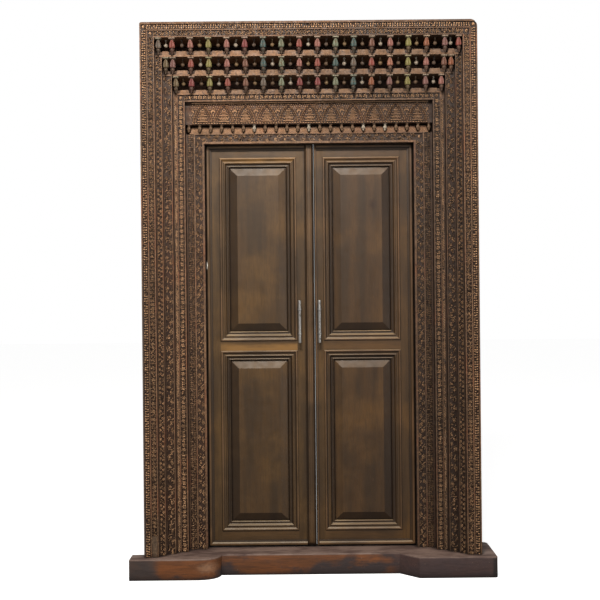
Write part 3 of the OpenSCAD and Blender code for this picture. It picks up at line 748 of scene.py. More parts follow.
    def moved(self, shift: Point, quarter: bool = False) -> "Sketch":
        """Returns a copy moved by metres, first turned a quarter in its plane if asked."""
        other = Sketch()
        points = [((z, y, -x) if quarter else (x, y, z)) for x, y, z in self.points]
        points = [tuple(a + b for a, b in zip(p, shift)) for p in points]
        other.add(points, list(self.faces), list(self.relief))
        return other

    def join(self, other: "Sketch") -> None:
        """Adds everything drawn on another sketch."""
        self.add(other.points, other.faces, other.relief)

    def made(self, name: str, material: Material | None = None, smooth: float = 42.0) -> Object:
        """Makes the mesh object.

        Args:
            name: The piece's name.
            material: Its finish.
            smooth: Edges sharper than this many degrees stay sharp.

        Returns:
            The new object.
        """
        mesh = bpy.data.meshes.new(name)
        mesh.from_pydata(self.points, [], self.faces)
        outward(mesh)
        mesh.attributes.new("relief", "FLOAT", "POINT").data.foreach_set("value", self.relief)
        return placed(name, mesh, material, smooth)


def outward(mesh: Mesh) -> None:
    """Turns every closed shell's faces outwards."""
    work = bmesh.new()
    work.from_mesh(mesh)
    bmesh.ops.recalc_face_normals(work, faces=work.faces[:])
    work.to_mesh(mesh)
    work.free()


def placed(name: str, mesh: Mesh, material: Material | None, smooth: float) -> Object:
    """Puts a mesh into the scene as an object with smooth shading.

    Args:
        name: The object's name.
        mesh: Its mesh, already in place.
        material: Its finish, or None.
        smooth: Edges sharper than this many degrees stay sharp.

    Returns:
        The new object.
    """
    mesh.name = name
    mesh.polygons.foreach_set("use_smooth", [True] * len(mesh.polygons))
    mesh.set_sharp_from_angle(angle=math.radians(smooth))
    if material is not None:
        mesh.materials.clear()
        mesh.materials.append(material)
    made = bpy.data.objects.new(name, mesh)
    bpy.context.scene.collection.objects.link(made)
    return made


def hand_worked(piece: Object, amount: float) -> None:
    """Moves a piece's points a little, the way hand work and wear leave them.

    Args:
        piece: The piece.
        amount: The greatest shift in metres.
    """
    noise.seed_set(HAND_SEED)
    mesh = piece.data
    co = np.zeros(len(mesh.vertices) * 3)
    mesh.vertices.foreach_get("co", co)
    co = co.reshape(-1, 3)
    for i, p in enumerate(co):
        co[i] = p + np.array(noise.noise_vector(Vector(p) * 37.0)) * amount
    mesh.vertices.foreach_set("co", co.ravel())
    mesh.update()


class PlacingTree(Wiring):
    """Geometry Nodes tree that sets a motif along a guide's edges, or at its points."""

    def __init__(self, along: bool) -> None:
        """Builds the tree.

        Args:
            along: True to space the motif along the guide's edges by the pitch.
        """
        name = "motif_run" if along else "motif_points"
        super().__init__(bpy.data.node_groups.new(name, "GeometryNodeTree"))
        face = self.tree.interface
        for name, kind in (("Guide", "Geometry"), ("Motif", "Object"), ("Pitch", "Float"), ("Turn", "Float"),
                           ("Size", "Float"), ("Seed", "Int"), ("Finish", "Material")):
            face.new_socket(name, in_out="INPUT", socket_type="NodeSocket" + kind)
        face.new_socket("Carving", in_out="OUTPUT", socket_type="NodeSocketGeometry")
        given = self.node("NodeGroupInput").outputs
        turn, seed = given["Turn"], given["Seed"]
        minus = self.node("ShaderNodeMath", {0: turn, 1: -1.0}, operation="MULTIPLY").outputs[0]
        lean = {"Axis": (0.0, 1.0, 0.0), "Angle": self.chance(minus, turn, seed)}
        spin = self.node("FunctionNodeAxisAngleToRotation", lean).outputs[0]
        points = given["Guide"]
        if along:
            points, way = self.spaced(points, given["Pitch"])
            spin = self.node("FunctionNodeRotateRotation", {0: way, 1: spin}).outputs[0]
        pattern = self.node("GeometryNodeObjectInfo", {"Object": given["Motif"]}).outputs["Geometry"]
        size = self.chance(given["Size"], 1.0, seed)
        seats = {"Points": points, "Instance": pattern, "Rotation": spin, "Scale": size}
        set_out = self.node("GeometryNodeInstanceOnPoints", seats).outputs[0]
        real = self.node("GeometryNodeRealizeInstances", {0: set_out}).outputs[0]
        coated = self.node("GeometryNodeSetMaterial", {0: real, "Material": given["Finish"]}).outputs[0]
        self.node("NodeGroupOutput", {0: coated})

    def chance(self, low: object, high: object, seed: Socket) -> Socket:
        """Returns a random number for each point."""
        drawn = self.node("FunctionNodeRandomValue", {2: low, 3: high, "Seed": seed}, data_type="FLOAT")
        return drawn.outputs[1]

    def spaced(self, edges: Socket, pitch: Socket) -> tuple[Socket, Socket]:
        """Returns points spaced along edges, and the rotation that lays +Z along them."""
        curve = self.node("GeometryNodeMeshToCurve", {0: edges}).outputs[0]
        points = self.node("GeometryNodeResampleCurve", {"Curve": curve, "Length": pitch}, mode="LENGTH")
        tangent = self.node("GeometryNodeInputTangent").outputs[0]
        way = self.node("FunctionNodeAlignRotationToVector", {"Vector": tangent}, axis="Z", pivot_axis="Y")
        return points.outputs[0], way.outputs[0]

    def grow(self, name: str, guide: Mesh, motif: Sketch, finish: Material, pitch: float = 0.1,
             turn: float = 0.0, size: float = 1.0, seed: int = 1) -> Object:
        """Sets the motif on a guide and returns the result as a plain mesh.

        Args:
            name: The piece's name.
            guide: The guide's edges or points, in place.
            motif: What is repeated.
            finish: Its material.
            pitch: Its spacing along the edges, in metres.
            turn: The greatest random turn, in radians.
            size: The smallest random size, as a share.
            seed: The seed of both.

        Returns:
            The finished piece.
        """
        pattern = motif.made(name + "_motif")
        carrier = bpy.data.objects.new(name + "_guide", guide)
        bpy.context.scene.collection.objects.link(carrier)
        grower = carrier.modifiers.new("grow", "NODES")
        grower.node_group = self.tree
        values = {"Motif": pattern, "Pitch": pitch, "Turn": turn, "Size": size, "Seed": seed,
                  "Finish": finish}
        for item in self.tree.interface.items_tree:
            if item.item_type == "SOCKET" and item.in_out == "INPUT" and item.name in values:
                grower[item.identifier] = values[item.name]
        bpy.context.view_layer.update()
        graph = bpy.context.evaluated_depsgraph_get()
        mesh = bpy.data.meshes.new_from_object(carrier.evaluated_get(graph), depsgraph=graph)
        carrier.modifiers.remove(grower)
        bpy.data.objects.remove(carrier)
        bpy.data.objects.remove(pattern)
        return placed(name, mesh, finish, 42.0)


def guide_lines(runs: list[tuple[Point, Point]], pitch: float) -> Mesh:
    """Makes a guide of straight runs, each drawn in by half a pitch so that whole motifs fit.

    Args:
        runs: Start and end of each run, in metres.
        pitch: The motif's spacing.

    Returns:
        The guide mesh.
    """
    points, edges = [], []
    for a, b in runs:
        start, end = Vector(a), Vector(b)
        inset = (end - start).normalized() * (pitch / 2)
        edges.append((len(points), len(points) + 1))
        points += [tuple(start + inset), tuple(end - inset)]
    mesh = bpy.data.meshes.new("guide")
    mesh.from_pydata(points, edges, [])
    return mesh


def guide_points(points: list[Point], paints: list[Rgb] | None = None) -> Mesh:
    """Makes a guide of single points, each with its paint colour if given."""
    mesh = bpy.data.meshes.new("guide")
    mesh.from_pydata(points, [], [])
    if paints:
        flat = [c for p in paints for c in linear(p)]
        mesh.attributes.new("paint", "FLOAT_COLOR", "POINT").data.foreach_set("color", flat)
    return mesh


def dress(material: Material, *nodes: str) -> None:
    """Gives CAD nodes a material in their slots, and reports them."""
    for name in nodes:
        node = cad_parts[name]
        if not node.data.materials:
            node.data.materials.append(material)
        for slot in node.material_slots:
            slot.material = material
    LOG.info("%s: %s", material.name, ", ".join(nodes))


def register(piece: Object, body: str, slot: str, *nodes: str) -> None:
    """Fixes a piece to its body, hides the nodes it stands for and reports it.

    Args:
        piece: The finished piece.
        body: The CAD body it rides on.
        slot: Not used.
        nodes: The CAD nodes it replaces.
    """
    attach(piece, body)
    if nodes:
        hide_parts(*nodes)
    LOG.info("%s on %s: %d faces", piece.name, body, len(piece.data.polygons))


# ---------------------------------------------------------------- carving


@dataclass(frozen=True)
class Volute:
    """A pair of opposed spirals, each ringed with leaves: sizes in millimetres and angles in degrees.

    Its single leaves give their root, turn, length, half width and height.
    """

    middle: Flat
    coil_r: float
    start: float
    sweep: float
    steps: int
    half_w: float
    rise: float
    ring_r: float
    count: int
    leaf: Point
    lean: float
    arc: Flat
    singles: tuple[tuple[float, ...], ...]


VOLUTES = {
    Motif.WAVE: Volute((-4.4, 6.0), 6.2, 80, 330, 8, 2.2, 6.8, 10.6, 3, (8.6, 2.9, 6.4), 75, (-150, -30),
                       ((12.0, -1.0, 192, 9.0, 2.4, 6.0), (6.0, 0.5, 40, 8.0, 2.6, 6.2))),
    Motif.VINE: Volute((-4.5, 12.75), 7.4, 90, 400, 9, 2.5, 6.9, 13.2, 6, (9.4, 3.3, 6.4), 72, (-200, 10),
                       ((17.5, -2.5, 184, 12.0, 2.6, 6.2), (16.0, 12.0, 200, 11.0, 3.2, 6.2),
                        (8.0, -1.0, 36, 10.0, 3.0, 6.4))),
    Motif.SCROLL: Volute((-4.5, 11.5), 6.8, 95, 380, 9, 2.3, 6.9, 12.6, 5, (9.0, 3.0, 6.4), 64, (-190, 0),
                         ((16.6, -1.5, 180, 11.0, 2.6, 6.2), (15.0, 11.0, 204, 9.5, 3.0, 6.2),
                          (7.0, -1.0, 36, 9.5, 2.8, 6.4))),
}
BEADED_LEAVES = ((8.0, -10.8, 10, 9.5, 3.2, 6.2), (2.5, -9.5, 20, 9.0, 2.8, 6.0),
                 (14.4, -9.0, 0, 9.5, 2.2, 6.0))


class Carver:
    """Draws the motifs of the frame's rows."""

    def draw(self, motif: Motif) -> Sketch:
        """Returns one motif, centred on the row.

        Args:
            motif: Which motif.

        Returns:
            Its sketch, running along +Z.
        """
        return self.volutes(VOLUTES[motif]) if motif in VOLUTES else getattr(self, motif.value)()

    def coil(self, v: float, u: float, size: float, start: float, sweep: float, steps: int) -> list[Flat]:
        """Returns a spiral that winds in towards its middle."""
        path = []
        for i in range(steps + 1):
            a = math.radians(start + sweep * i / steps)
            r = size * (1 - 0.78 * i / steps)
            path.append((v + r * math.cos(a), u + r * math.sin(a)))
        return path

    def whorl(self, s: Sketch, at: Flat, reach: float, count: int, size: Point, lean: float,
              arc: Flat = (0.0, 360.0)) -> None:
        """Cuts leaves in a ring, each leaning round it.

        Args:
            s: The sketch they are added to.
            at: The ring's middle, across and along.
            reach: The ring's radius.
            count: Number of leaves.
            size: A leaf's length, half width and height.
            lean: 0 for leaves that point outwards, 90 for leaves that follow the ring.
            arc: Where the ring starts and ends, in degrees.
        """
        for k in range(count):
            way = arc[0] + (arc[1] - arc[0]) * (k + 0.5) / count
            turn, out = math.radians(way + lean), math.radians(way)
            s.leaf(at[0] + reach * math.sin(out) - size[0] / 2 * math.sin(turn),
                   at[1] + reach * math.cos(out) - size[0] / 2 * math.cos(turn), way + lean, *size)

    def singles(self, s: Sketch, hand: int, leaves: tuple[tuple[float, ...], ...]) -> None:
        """Cuts single leaves, turned half round the motif's middle for the other hand."""
        for v, u, turn, *size in leaves:
            s.leaf(v * hand, u * hand, turn + 90 * (1 - hand), *size)

    def volutes(self, form: Volute) -> Sketch:
        """Returns one repeat of a running scroll.

        Args:
            form: Its sizes.

        Returns:
            The repeat's sketch.
        """
        s = Sketch()
        for hand in (-1, 1):
            at = (form.middle[0] * hand, form.middle[1] * hand)
            path = self.coil(*at, form.coil_r, form.start * hand, form.sweep, form.steps)
            s.ridge(path, form.half_w, form.rise)
            arc = (form.arc[0] * hand, form.arc[1] * hand)
            self.whorl(s, at, form.ring_r, form.count, form.leaf, form.lean, arc)
            self.singles(s, hand, form.singles)
        return s

    def husk(self) -> Sketch:
        """Returns one chevron of husks."""
        s = Sketch()
        for hand in (-1, 1):
            s.leaf(0.4 * hand, -6.0, 50 * hand, 17.0, 4.2, 6.4)
            s.leaf(8.0 * hand, -7.0, 16 * hand, 10.0, 2.4, 5.8)
        s.dome(0, -1.6, 2.4, 2.8, 6.6, 6)
        return s

    def chain(self) -> Sketch:
        """Returns one link of a leafy chain."""
        s = Sketch()
        self.whorl(s, (0, 0), 6.4, 7, (7.6, 2.5, 6.4), 70)
        s.dome(0, 0, 3.0, 3.0, 6.2, 6)
        for hand in (-1, 1):
            s.leaf(3.0 * hand, -10.1, 62 * hand, 12.5, 3.0, 6.0)
            s.leaf(12.4 * hand, -4.0, 0, 10.0, 2.2, 5.6)
        return s

    def lozenge(self) -> Sketch:
        """Returns one crossed flower of a lozenge row."""
        s = Sketch()
        for turn in (38, 142, 218, 322):
            s.leaf(0, 0, turn, 17.5, 4.2, 6.8)
        s.dome(0, 0, 3.2, 3.2, 7.0, 6)
        for hand in (-1, 1):
            s.leaf(13.2 * hand, -5.5, 0, 11.0, 2.7, 6.0)
            s.leaf(3.4 * hand, 0, 90 * hand, 8.5, 3.0, 6.2)
            s.leaf(0, 3.5 * hand, 0 if hand > 0 else 180, 8.8, 3.0, 6.2)
        return s

    def reed(self) -> Sketch:
        """Returns one slanted reed of the coves."""
        s = Sketch()
        s.ridge([(-6.2, -4.6), (-2.6, -2.6), (2.6, 2.6), (6.2, 4.6)], 2.3, 3.0)
        return s

    def beaded(self) -> Sketch:
        """Returns one repeat of the inner band's small leaves."""
        s = Sketch()
        for hand in (-1, 1):
            self.whorl(s, (7.8 * hand, 5.4 * hand), 4.6, 5, (6.4, 2.3, 6.2), 60)
            self.singles(s, hand, BEADED_LEAVES)
        return s

    def rosette(self) -> Sketch:
        """Returns an eight-petalled flower for the rows' corners."""
        s = Sketch()
        for k in range(8):
            s.leaf(0, 0, 45.0 * k, 12.5, 3.2, 6.0)
        s.dome(0, 0, 4.0, 4.0, 6.8, 8)
        return s


@dataclass
class CarvedRow:
    """One carved row of a frame member, run up both jambs and, where the frame has it, over the lintel."""

    name: str
    motif: Motif
    pitch: float
    near: float
    far: float
    jamb: str
    lintel: str | None = None
    top: str | None = None
    depth: float = 0.007
    foot: float = 0.0
    seed: int = 1

    def runs(self) -> tuple[list[tuple[Point, Point]], list[Point]]:
        """Returns the row's straight runs and its corners, on the sunk ground.

        Returns:
            The runs' ends and the corners' middles, in metres.
        """
        low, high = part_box(self.jamb + "_left")
        inner = -high.x
        middle = inner + (self.near + self.far) / 2
        half = (self.far - self.near) / 2
        y = low.y + self.depth
        base = low.z + self.foot
        corner = high.z + (self.near + self.far) / 2
        end = corner - half if self.lintel else (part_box(self.top)[1].z if self.top else high.z)
        runs = [((-middle, y, base), (-middle, y, end)), ((middle, y, low.z), (middle, y, end))]
        corners: list[Point] = []
        if self.lintel:
            runs.append(((-middle + half, y, corner), (middle - half, y, corner)))
            corners = [(-middle, y, corner), (middle, y, corner)]
        return runs, corners

    def build(self, tree: PlacingTree, carver: Carver, finish: Material) -> Object:
        """Carves the row.

        Args:
            tree: The tree that repeats a motif along a guide.
            carver: What draws the motif.
            finish: The carving's material.

        Returns:
            The finished piece.
        """
        runs, corners = self.runs()
        piece = tree.grow(self.name, guide_lines(runs, self.pitch), carver.draw(self.motif), finish,
                          self.pitch, 0.3, 0.86, self.seed)
        if corners:
            flowers = Sketch()
            for c in corners:
                flowers.join(carver.draw(Motif.ROSETTE).moved(c))
            joined(piece, flowers.made(self.name + "_corners", finish))
        hand_worked(piece, 0.0010)
        return piece


def joined(target: Object, *others: Object) -> None:
    """Joins other objects into a target's mesh."""
    with bpy.context.temp_override(active_object=target, selected_editable_objects=[target, *others],
                                   selected_objects=[target, *others], object=target):
        bpy.ops.object.join()


@dataclass
class SteppedFrame:
    """The five stepped members on each side and their lintels."""

    palette: Palette
    rows: list[CarvedRow] = field(default_factory=lambda: [
        CarvedRow("outer_husk_row", Motif.HUSK, 0.0125, 0.040, 0.067, "outer_jamb", "outer_head", seed=3),
        CarvedRow("outer_chain_row", Motif.CHAIN, 0.0202, 0.006, 0.034, "outer_jamb", "outer_head",
                  foot=0.108, seed=5),
        CarvedRow("second_wave_row", Motif.WAVE, 0.024, 0.004, 0.030, "second_jamb", seed=7),
        CarvedRow("third_vine_row", Motif.VINE, 0.051, 0.004, 0.043, "third_jamb", seed=11),
        CarvedRow("fourth_lozenge_row", Motif.LOZENGE, 0.0245, 0.006, 0.036, "fourth_jamb", "fourth_lintel",
                  seed=13),
        CarvedRow("fourth_reeded_cove", Motif.REED, 0.0085, 0.042, 0.055, "fourth_jamb", depth=0.0035,
                  seed=15),
        CarvedRow("inner_scroll_row", Motif.SCROLL, 0.046, 0.011, 0.048, "inner_jamb", "inner_lintel",
                  seed=17),
        CarvedRow("inner_beaded_row", Motif.BEADED, 0.022, 0.055, 0.088, "inner_jamb", top="inner_lintel",
                  seed=19),
    ])
    worn_run: Flat = (-0.268, 0.182)

    def build(self) -> None:
        """Dresses the members and carves their rows."""
        p = self.palette
        for member in ("outer", "second", "third", "fourth", "inner"):
            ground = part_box(f"{member}_jamb_left")[0].y + 0.007
            upright = CarvedTimber(f"{member}_jamb_timber", ground=ground)
            over = CarvedTimber(f"{member}_lintel_timber", ground=ground, grain=Grain.ACROSS,
                                body=(138, 106, 78), ruddy=(130, 94, 68))
            if member == "outer":
                upright = replace(upright, right_painted_shade=OUTER_PAINTED_SHADE)
                over = replace(over, body=(112, 82, 56))
            dress(upright.material(), f"{member}_jamb_left", f"{member}_jamb_right")
            dress(over.material(), "outer_head" if member == "outer" else f"{member}_lintel")
        dress(p.rough_upright, "rear_post_left", "rear_post_right")
        dress(p.rough_across, "head_beam", "head_board")
        tree, carver = PlacingTree(True), Carver()
        for row in self.rows:
            piece = row.build(tree, carver, p.outer_carving if row.jamb == "outer_jamb" else p.carving)
            if row.name == "inner_scroll_row":
                self.wear_lintel(piece, row)
            register(piece, "frame", "carved_wood")
            if row.foot:
                self.repair(row)

    def repair(self, row: CarvedRow) -> None:
        """Lets a plain strip into the foot of the left outer jamb, where its carving is lost.

        Args:
            row: The carved row that starts above the strip.
        """
        (x, y, z), _ = row.runs()[0][0]
        half = (row.far - row.near) / 2 / MM
        strip = Sketch()
        strip.block((-half, -row.foot / MM), (half, 0), 6.0, 1.2)
        strip = strip.moved((x, y, z))
        timber = CarvedTimber("repair_timber", body=(112, 92, 72), ruddy=(104, 82, 62)).material()
        register(strip.made("outer_foot_repair", timber), "frame", "carved_wood")

    def wear_lintel(self, piece: Object, row: CarvedRow) -> None:
        """Rubs the middle of the inner lintel's carving almost flat.

        Args:
            piece: The carved row.
            row: Its description, which gives the ground.
        """
        low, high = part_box("inner_jamb_left")
        ground = low.y + row.depth
        heights = piece.data.attributes["relief"].data
        for v in piece.data.vertices:
            if v.co.z > high.z and self.worn_run[0] < v.co.x < self.worn_run[1]:
                edge = min(v.co.x - self.worn_run[0], self.worn_run[1] - v.co.x)
                keep = max(0.3, 1.0 - edge / 0.04)
                v.co.y = ground + (v.co.y - ground) * keep
                heights[v.index].value *= max(0.5, keep)
        piece.data.update()


@dataclass
class Frieze:
    """The frieze panel's arcade, the leafy crest below it and the panel itself."""

    palette: Palette
    bays: int = 11

    def bay(self, width: float, tall: float) -> Sketch:
        """Draws one bay: a pointed arch over a stacked urn, with palmettes in the corners.

        Args:
            width: The bay's width in millimetres.
            tall: The panel's height.

        Returns:
            The bay's sketch, centred on the panel.
        """
        s = Sketch()
        half, low = width / 2, -tall / 2
        spring, top = low + 26.0, low + tall - 14.0
        arch = [(half * 0.86 * k, spring + (top - spring) * (1 - abs(k) ** 1.7)) for k in
                (-1, -0.94, -0.84, -0.68, -0.48, -0.26, -0.1, 0, 0.1, 0.26, 0.48, 0.68, 0.84, 0.94, 1)]
        for row in range(9):
            for col in range(9):
                v, u = (col - 4 + 0.5 * (row % 2)) * width / 9.4, low + 9 + row * 11.0
                s.leaf(v, u, (-38 if v < 0 else 38) + 16 * ((row * 5 + col * 3) % 4 - 1.5), 13.5, 3.9, 5.2)
        s.ridge([(-half * 0.86, low + 10)] + arch + [(half * 0.86, low + 10)], 3.0, 8.0, tone=0.66)
        inner = [(v * 0.8, spring + (u - spring) * 0.86) for v, u in arch]
        s.ridge([(-half * 0.69, low + 10)] + inner + [(half * 0.69, low + 10)], 1.7, 6.0, tone=0.6)
        for k, (w, h0, h1) in enumerate(((30, 12, 18), (17, 20, 25), (27, 27, 33), (14, 35, 40), (22, 42, 48),
                                         (11, 50, 55), (16, 57, 62), (7, 64, 70))):
            s.block((-w, low + h0), (w, low + h1), 7.5 if k % 2 == 0 else 5.5, 1.4, 0.86, 0.72)
            for hand in (-1, 0, 1) if k % 2 == 0 else ():
                s.dome(0.56 * w * hand, low + (h0 + h1) / 2, w * 0.22, 2.2, 9.5, 6)
        s.leaf(0, low + 70, 0, 17, 3.4, 7.0)
        for hand in (-1, 1):
            for k, turn in enumerate((20, 48, 76)):
                s.leaf(5.0 * hand, low + 66 - 12 * k, turn * hand, 15 - 1.5 * k, 2.8, 5.5)
            for turn in (-6, 18, 42, 66):
                s.leaf((half - 3) * hand, low + 60, -turn * hand, 27 - turn * 0.14, 3.3, 7.0)
            s.leaf((half - 1.5) * hand, low + 58, 180 - 8 * hand, 26, 3.4, 6.0)
            s.dome((half - 8) * hand, low + 22, 4.2, 4.2, 6.5, 8)
            s.leaf((half - 12) * hand, low + 12, 0, 13, 2.6, 5.0)
        for k in range(8):
            s.dome(-half + (k + 0.5) * width / 8, low + 4.5, width / 17, 3.6, 7.5, 8)
        s.block((-half, tall / 2 - 6.5), (half, tall / 2 - 0.5), 5.5, 1.2)
        return s

    def crest(self) -> Sketch:
        """Draws one pointed leaf block that stands between two small drops."""
        s = Sketch()
        s.block((-28, 0), (28, 8), 8.0, 1.0, 1.0, 0.6)
        s.block((-25, 7), (25, 36), 7.0, 1.0, 0.62, 0.58)
        for k in range(6):
            s.dome(-23 + 9.2 * k, 4, 3.4, 2.8, 10.5, 6)
        for hand in (-1, 1):
            s.leaf(2.0 * hand, 7, 34 * hand, 24, 4.2, 10.5)
            s.leaf(8.0 * hand, 5, 52 * hand, 18, 3.6, 10.0)
            s.leaf(1.5 * hand, 14, 18 * hand, 20, 3.4, 11.0)
        s.leaf(0, 5, 0, 30, 4.0, 11.5)
        return s

    def build(self) -> None:
        """Carves the arcade and the crest."""
        p = self.palette
        dress(p.frieze_ground, "frieze_panel")
        low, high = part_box("frieze_panel")
        width, tall = (high.x - low.x), (high.z - low.z)
        pitch = width / (self.bays + 0.5)
        start = low.x + pitch * 0.3
        middle = (low.z + high.z) / 2
        points = [(start + pitch * (i + 0.5), low.y, middle) for i in range(self.bays)]
        tree = PlacingTree(False)
        arcade = tree.grow("frieze_arcade", guide_points(points), self.bay(pitch / MM, tall / MM), p.frieze,
                           turn=0.008, size=0.985, seed=23)
        hand_worked(arcade, 0.0009)
        register(arcade, "frame", "carved_wood")
        drops_low, drops_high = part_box("frieze_drops")
        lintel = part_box("inner_lintel")
        count = SMALL_DROPS - 1
        step = (drops_high.x - drops_low.x - 2 * SMALL_DROP_R) / count
        first = drops_low.x + SMALL_DROP_R + step / 2
        seats = [(first + step * i, lintel[0].y + 0.012, lintel[1].z - 0.0005) for i in range(count)]
        crest = tree.grow("lintel_crest", guide_points(seats), self.crest(), p.frieze, turn=0.02, size=0.93,
                          seed=29)
        hand_worked(crest, 0.0008)
        register(crest, "frame", "carved_wood")


# ---------------------------------------------------------------- drops

PINK, RED, CRIMSON = (168, 112, 102), (158, 82, 72), (142, 68, 70)
YELLOW_GREEN, PALE_GREEN, TEAL = (150, 146, 84), (124, 136, 112), (66, 98, 96)
GREY, OLIVE, SALMON = (112, 104, 94), (120, 106, 76), (180, 120, 96)
MAUVE, ORANGE, BROWN = (140, 100, 96), (158, 96, 66), (128, 88, 72)


@dataclass
class HangingTiers:
    """The three open tiers of painted drops and knobs, and the small drops under the frieze."""

    palette: Palette
    columns: int = 16
    cap_half: float = 0.019
    lap: float = 0.008
    knob_r: float = 0.011
    pale_drops: tuple[int, ...] = (6, 11, 16, 18)
    tints: tuple[tuple[Rgb, ...], ...] = (
        (GREY, RED, PINK, YELLOW_GREEN, PINK, CRIMSON, TEAL, PALE_GREEN, RED, PINK, PALE_GREEN, TEAL, BROWN,
         PINK, YELLOW_GREEN, ORANGE, MAUVE, RED),
        (OLIVE, MAUVE, RED, YELLOW_GREEN, PINK, BROWN, TEAL, PALE_GREEN, PINK, RED, TEAL, GREY, RED, SALMON,
         YELLOW_GREEN, PINK, BROWN, ORANGE),
        (OLIVE, CRIMSON, YELLOW_GREEN, RED, BROWN, GREY, PALE_GREEN, CRIMSON, CRIMSON, PALE_GREEN, TEAL,
         ORANGE, MAUVE, YELLOW_GREEN, MAUVE, PINK),
    )

    def bud(self) -> Sketch:
        """Draws the petalled bud of a drop."""
        s = Sketch()
        rows = [(3.0, -12.0), (7.6, -12.8, 0.2), (8.4, -16.0, 0.6), (10.4, -21.0, 1), (12.6, -27.0, 1),
                (14.0, -33.0, 1), (14.8, -40.0, 1), (14.9, -45.5, 1), (14.2, -50.0, 1), (12.0, -52.8, 0.8),
                (8.0, -53.4, 0.3), (4.0, -52.8)]
        s.turned(rows, 24, 8, 0.26)
        return s

    def cap(self) -> Sketch:
        """Draws the square cap over a bud, with its edges eased."""
        s = Sketch()
        eased_square = ((-1, -0.86), (-0.86, -1), (0.86, -1), (1, -0.86),
                        (1, 0.86), (0.86, 1), (-0.86, 1), (-1, 0.86))
        levels = ((15.0, -0.2), (16.0, -1.2), (16.0, -6.4), (14.6, -7.6), (12.0, -8.2), (9.0, -9.7))
        rings = [[(a * half * MM, b * half * MM, z * MM) for a, b in eased_square] for half, z in levels]
        s.rings(rings, [[0.9] * 8] * 4 + [[0.5] * 8] * 2)
        s.turned([(5.0, -9.0), (8.4, -9.6), (8.8, -11.2), (7.6, -12.8), (5.0, -13.6)], 14)
        return s

    def tip(self) -> Sketch:
        """Draws the turned tip under a bud."""
        s = Sketch()
        rows = [(5.0, -51.5), (8.6, -53.2), (9.4, -54.6), (8.0, -56.0), (9.8, -58.6), (11.6, -61.5, 0.4),
                (12.0, -64.8, 0.6), (10.6, -68.6, 0.8), (8.0, -73.0, 0.8), (5.6, -77.0, 0.5), (4.2, -80.6),
                (4.4, -83.4), (3.2, -86.4), (1.0, -87.8)]
        s.turned(rows, 16, 8, 0.12)
        return s

    def knob(self) -> Sketch:
        """Draws a knob: cap, stem and ball."""
        s = Sketch()
        s.turned([(4, -0.2), (6.8, -0.8), (7, -5.6), (5.6, -7.4), (3.8, -9.2), (3.7, -15), (4.6, -19.4),
                  (5.0, -20.4), (8.6, -23.6), (10.6, -27.6), (10.9, -31.2), (9.7, -35.6), (6.8, -39.4),
                  (3.0, -41.6)], 14)
        return s

    def small(self) -> Sketch:
        """Draws a small turned drop."""
        s = Sketch()
        s.turned([(5, -0.2), (10.6, -0.9), (10.9, -3.8), (8.6, -5.4), (5.4, -8.2), (6.4, -11.2, 0.4),
                  (9.4, -16, 1), (10.9, -21.6, 1), (9.2, -26.2, 1), (5.6, -29.6, 0.4), (6.4, -33),
                  (5.2, -35.8), (2.4, -38.6), (0.8, -39.8)], 16, 8, 0.16)
        return s

    def across(self, tier: int) -> list[float]:
        """Returns the drops' places across the frame.

        Args:
            tier: The tier, 0 at the top.

        Returns:
            Their x in metres, from left to right.
        """
        half = -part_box("fourth_jamb_left")[0].x - self.lap
        xs = [-half + 2 * half * i / (self.columns - 1) for i in range(self.columns)]
        if tier == 2:
            last = -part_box("fourth_jamb_left")[0].x - self.cap_half
            return [max(-last, min(last, x)) for x in xs]
        end = -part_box(("outer_jamb_left", "second_jamb_left")[tier])[1].x - self.cap_half
        return [-end, *xs, end]

    def build(self) -> None:
        """Hangs every drop and knob."""
        p = self.palette
        tree = PlacingTree(False)
        for tier, word in enumerate(("one", "two", "three")):
            low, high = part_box(f"tier_{word}_drops")
            y = (low.y + high.y) / 2
            spots = [(x, y, high.z) for x in self.across(tier)]
            tints = list(self.tints[tier])
            caps = [tuple(0.25 * c + 0.75 * g for c, g in zip(t, (172, 164, 138))) for t in tints]
            tips = [tuple(0.25 * c + 0.45 * g for c, g in zip(t, (96, 78, 58))) for t in tints]
            name = f"tier_{word}_hanging_drops"
            loose = {"turn": 0.03, "size": 0.985, "seed": 31 + tier}
            buds = tree.grow(name, guide_points(spots, tints), self.bud(), p.paint, **loose)
            joined(buds, tree.grow(name + "_caps", guide_points(spots, caps), self.cap(), p.paint),
                   tree.grow(name + "_tips", guide_points(spots, tips), self.tip(), p.paint, **loose))
            register(buds, "frame", "painted_wood", f"tier_{word}_drops")
            k_low, k_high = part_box(f"tier_{word}_knobs")
            half = self.across(2)[-1] + self.knob_r
            xs = [-half + 2 * half * (i + 0.5) / (self.columns - 1) for i in range(self.columns - 1)]
            if tier == 0:
                end = k_high.x - self.knob_r
                xs = [-end, *xs, end]
            ky = (k_low.y + k_high.y) / 2
            shades = [((196, 186, 168), (112, 92, 70), (146, 122, 86), (98, 86, 76))[(i * 7 + tier) % 4]
                      for i in range(len(xs))]
            guide = guide_points([(x, ky, k_high.z) for x in xs], shades)
            knobs = tree.grow(f"tier_{word}_turned_knobs", guide, self.knob(), p.paint, turn=0.04, size=0.97,
                              seed=41 + tier)
            register(knobs, "frame", "painted_wood", f"tier_{word}_knobs")
        low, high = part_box("frieze_drops")
        y, count, r = (low.y + high.y) / 2, SMALL_DROPS, SMALL_DROP_R
        xs = [low.x + r + (high.x - low.x - 2 * r) * i / (count - 1) for i in range(count)]
        shades = [(196, 188, 170) if i in self.pale_drops else (128, 102, 76) for i in range(count)]
        guide = guide_points([(x, y, high.z) for x in xs], shades)
        small = tree.grow("frieze_turned_drops", guide, self.small(), p.paint, turn=0.05, size=0.96, seed=53)
        register(small, "frame", "carved_wood", "frieze_drops")


# ---------------------------------------------------------------- leaves


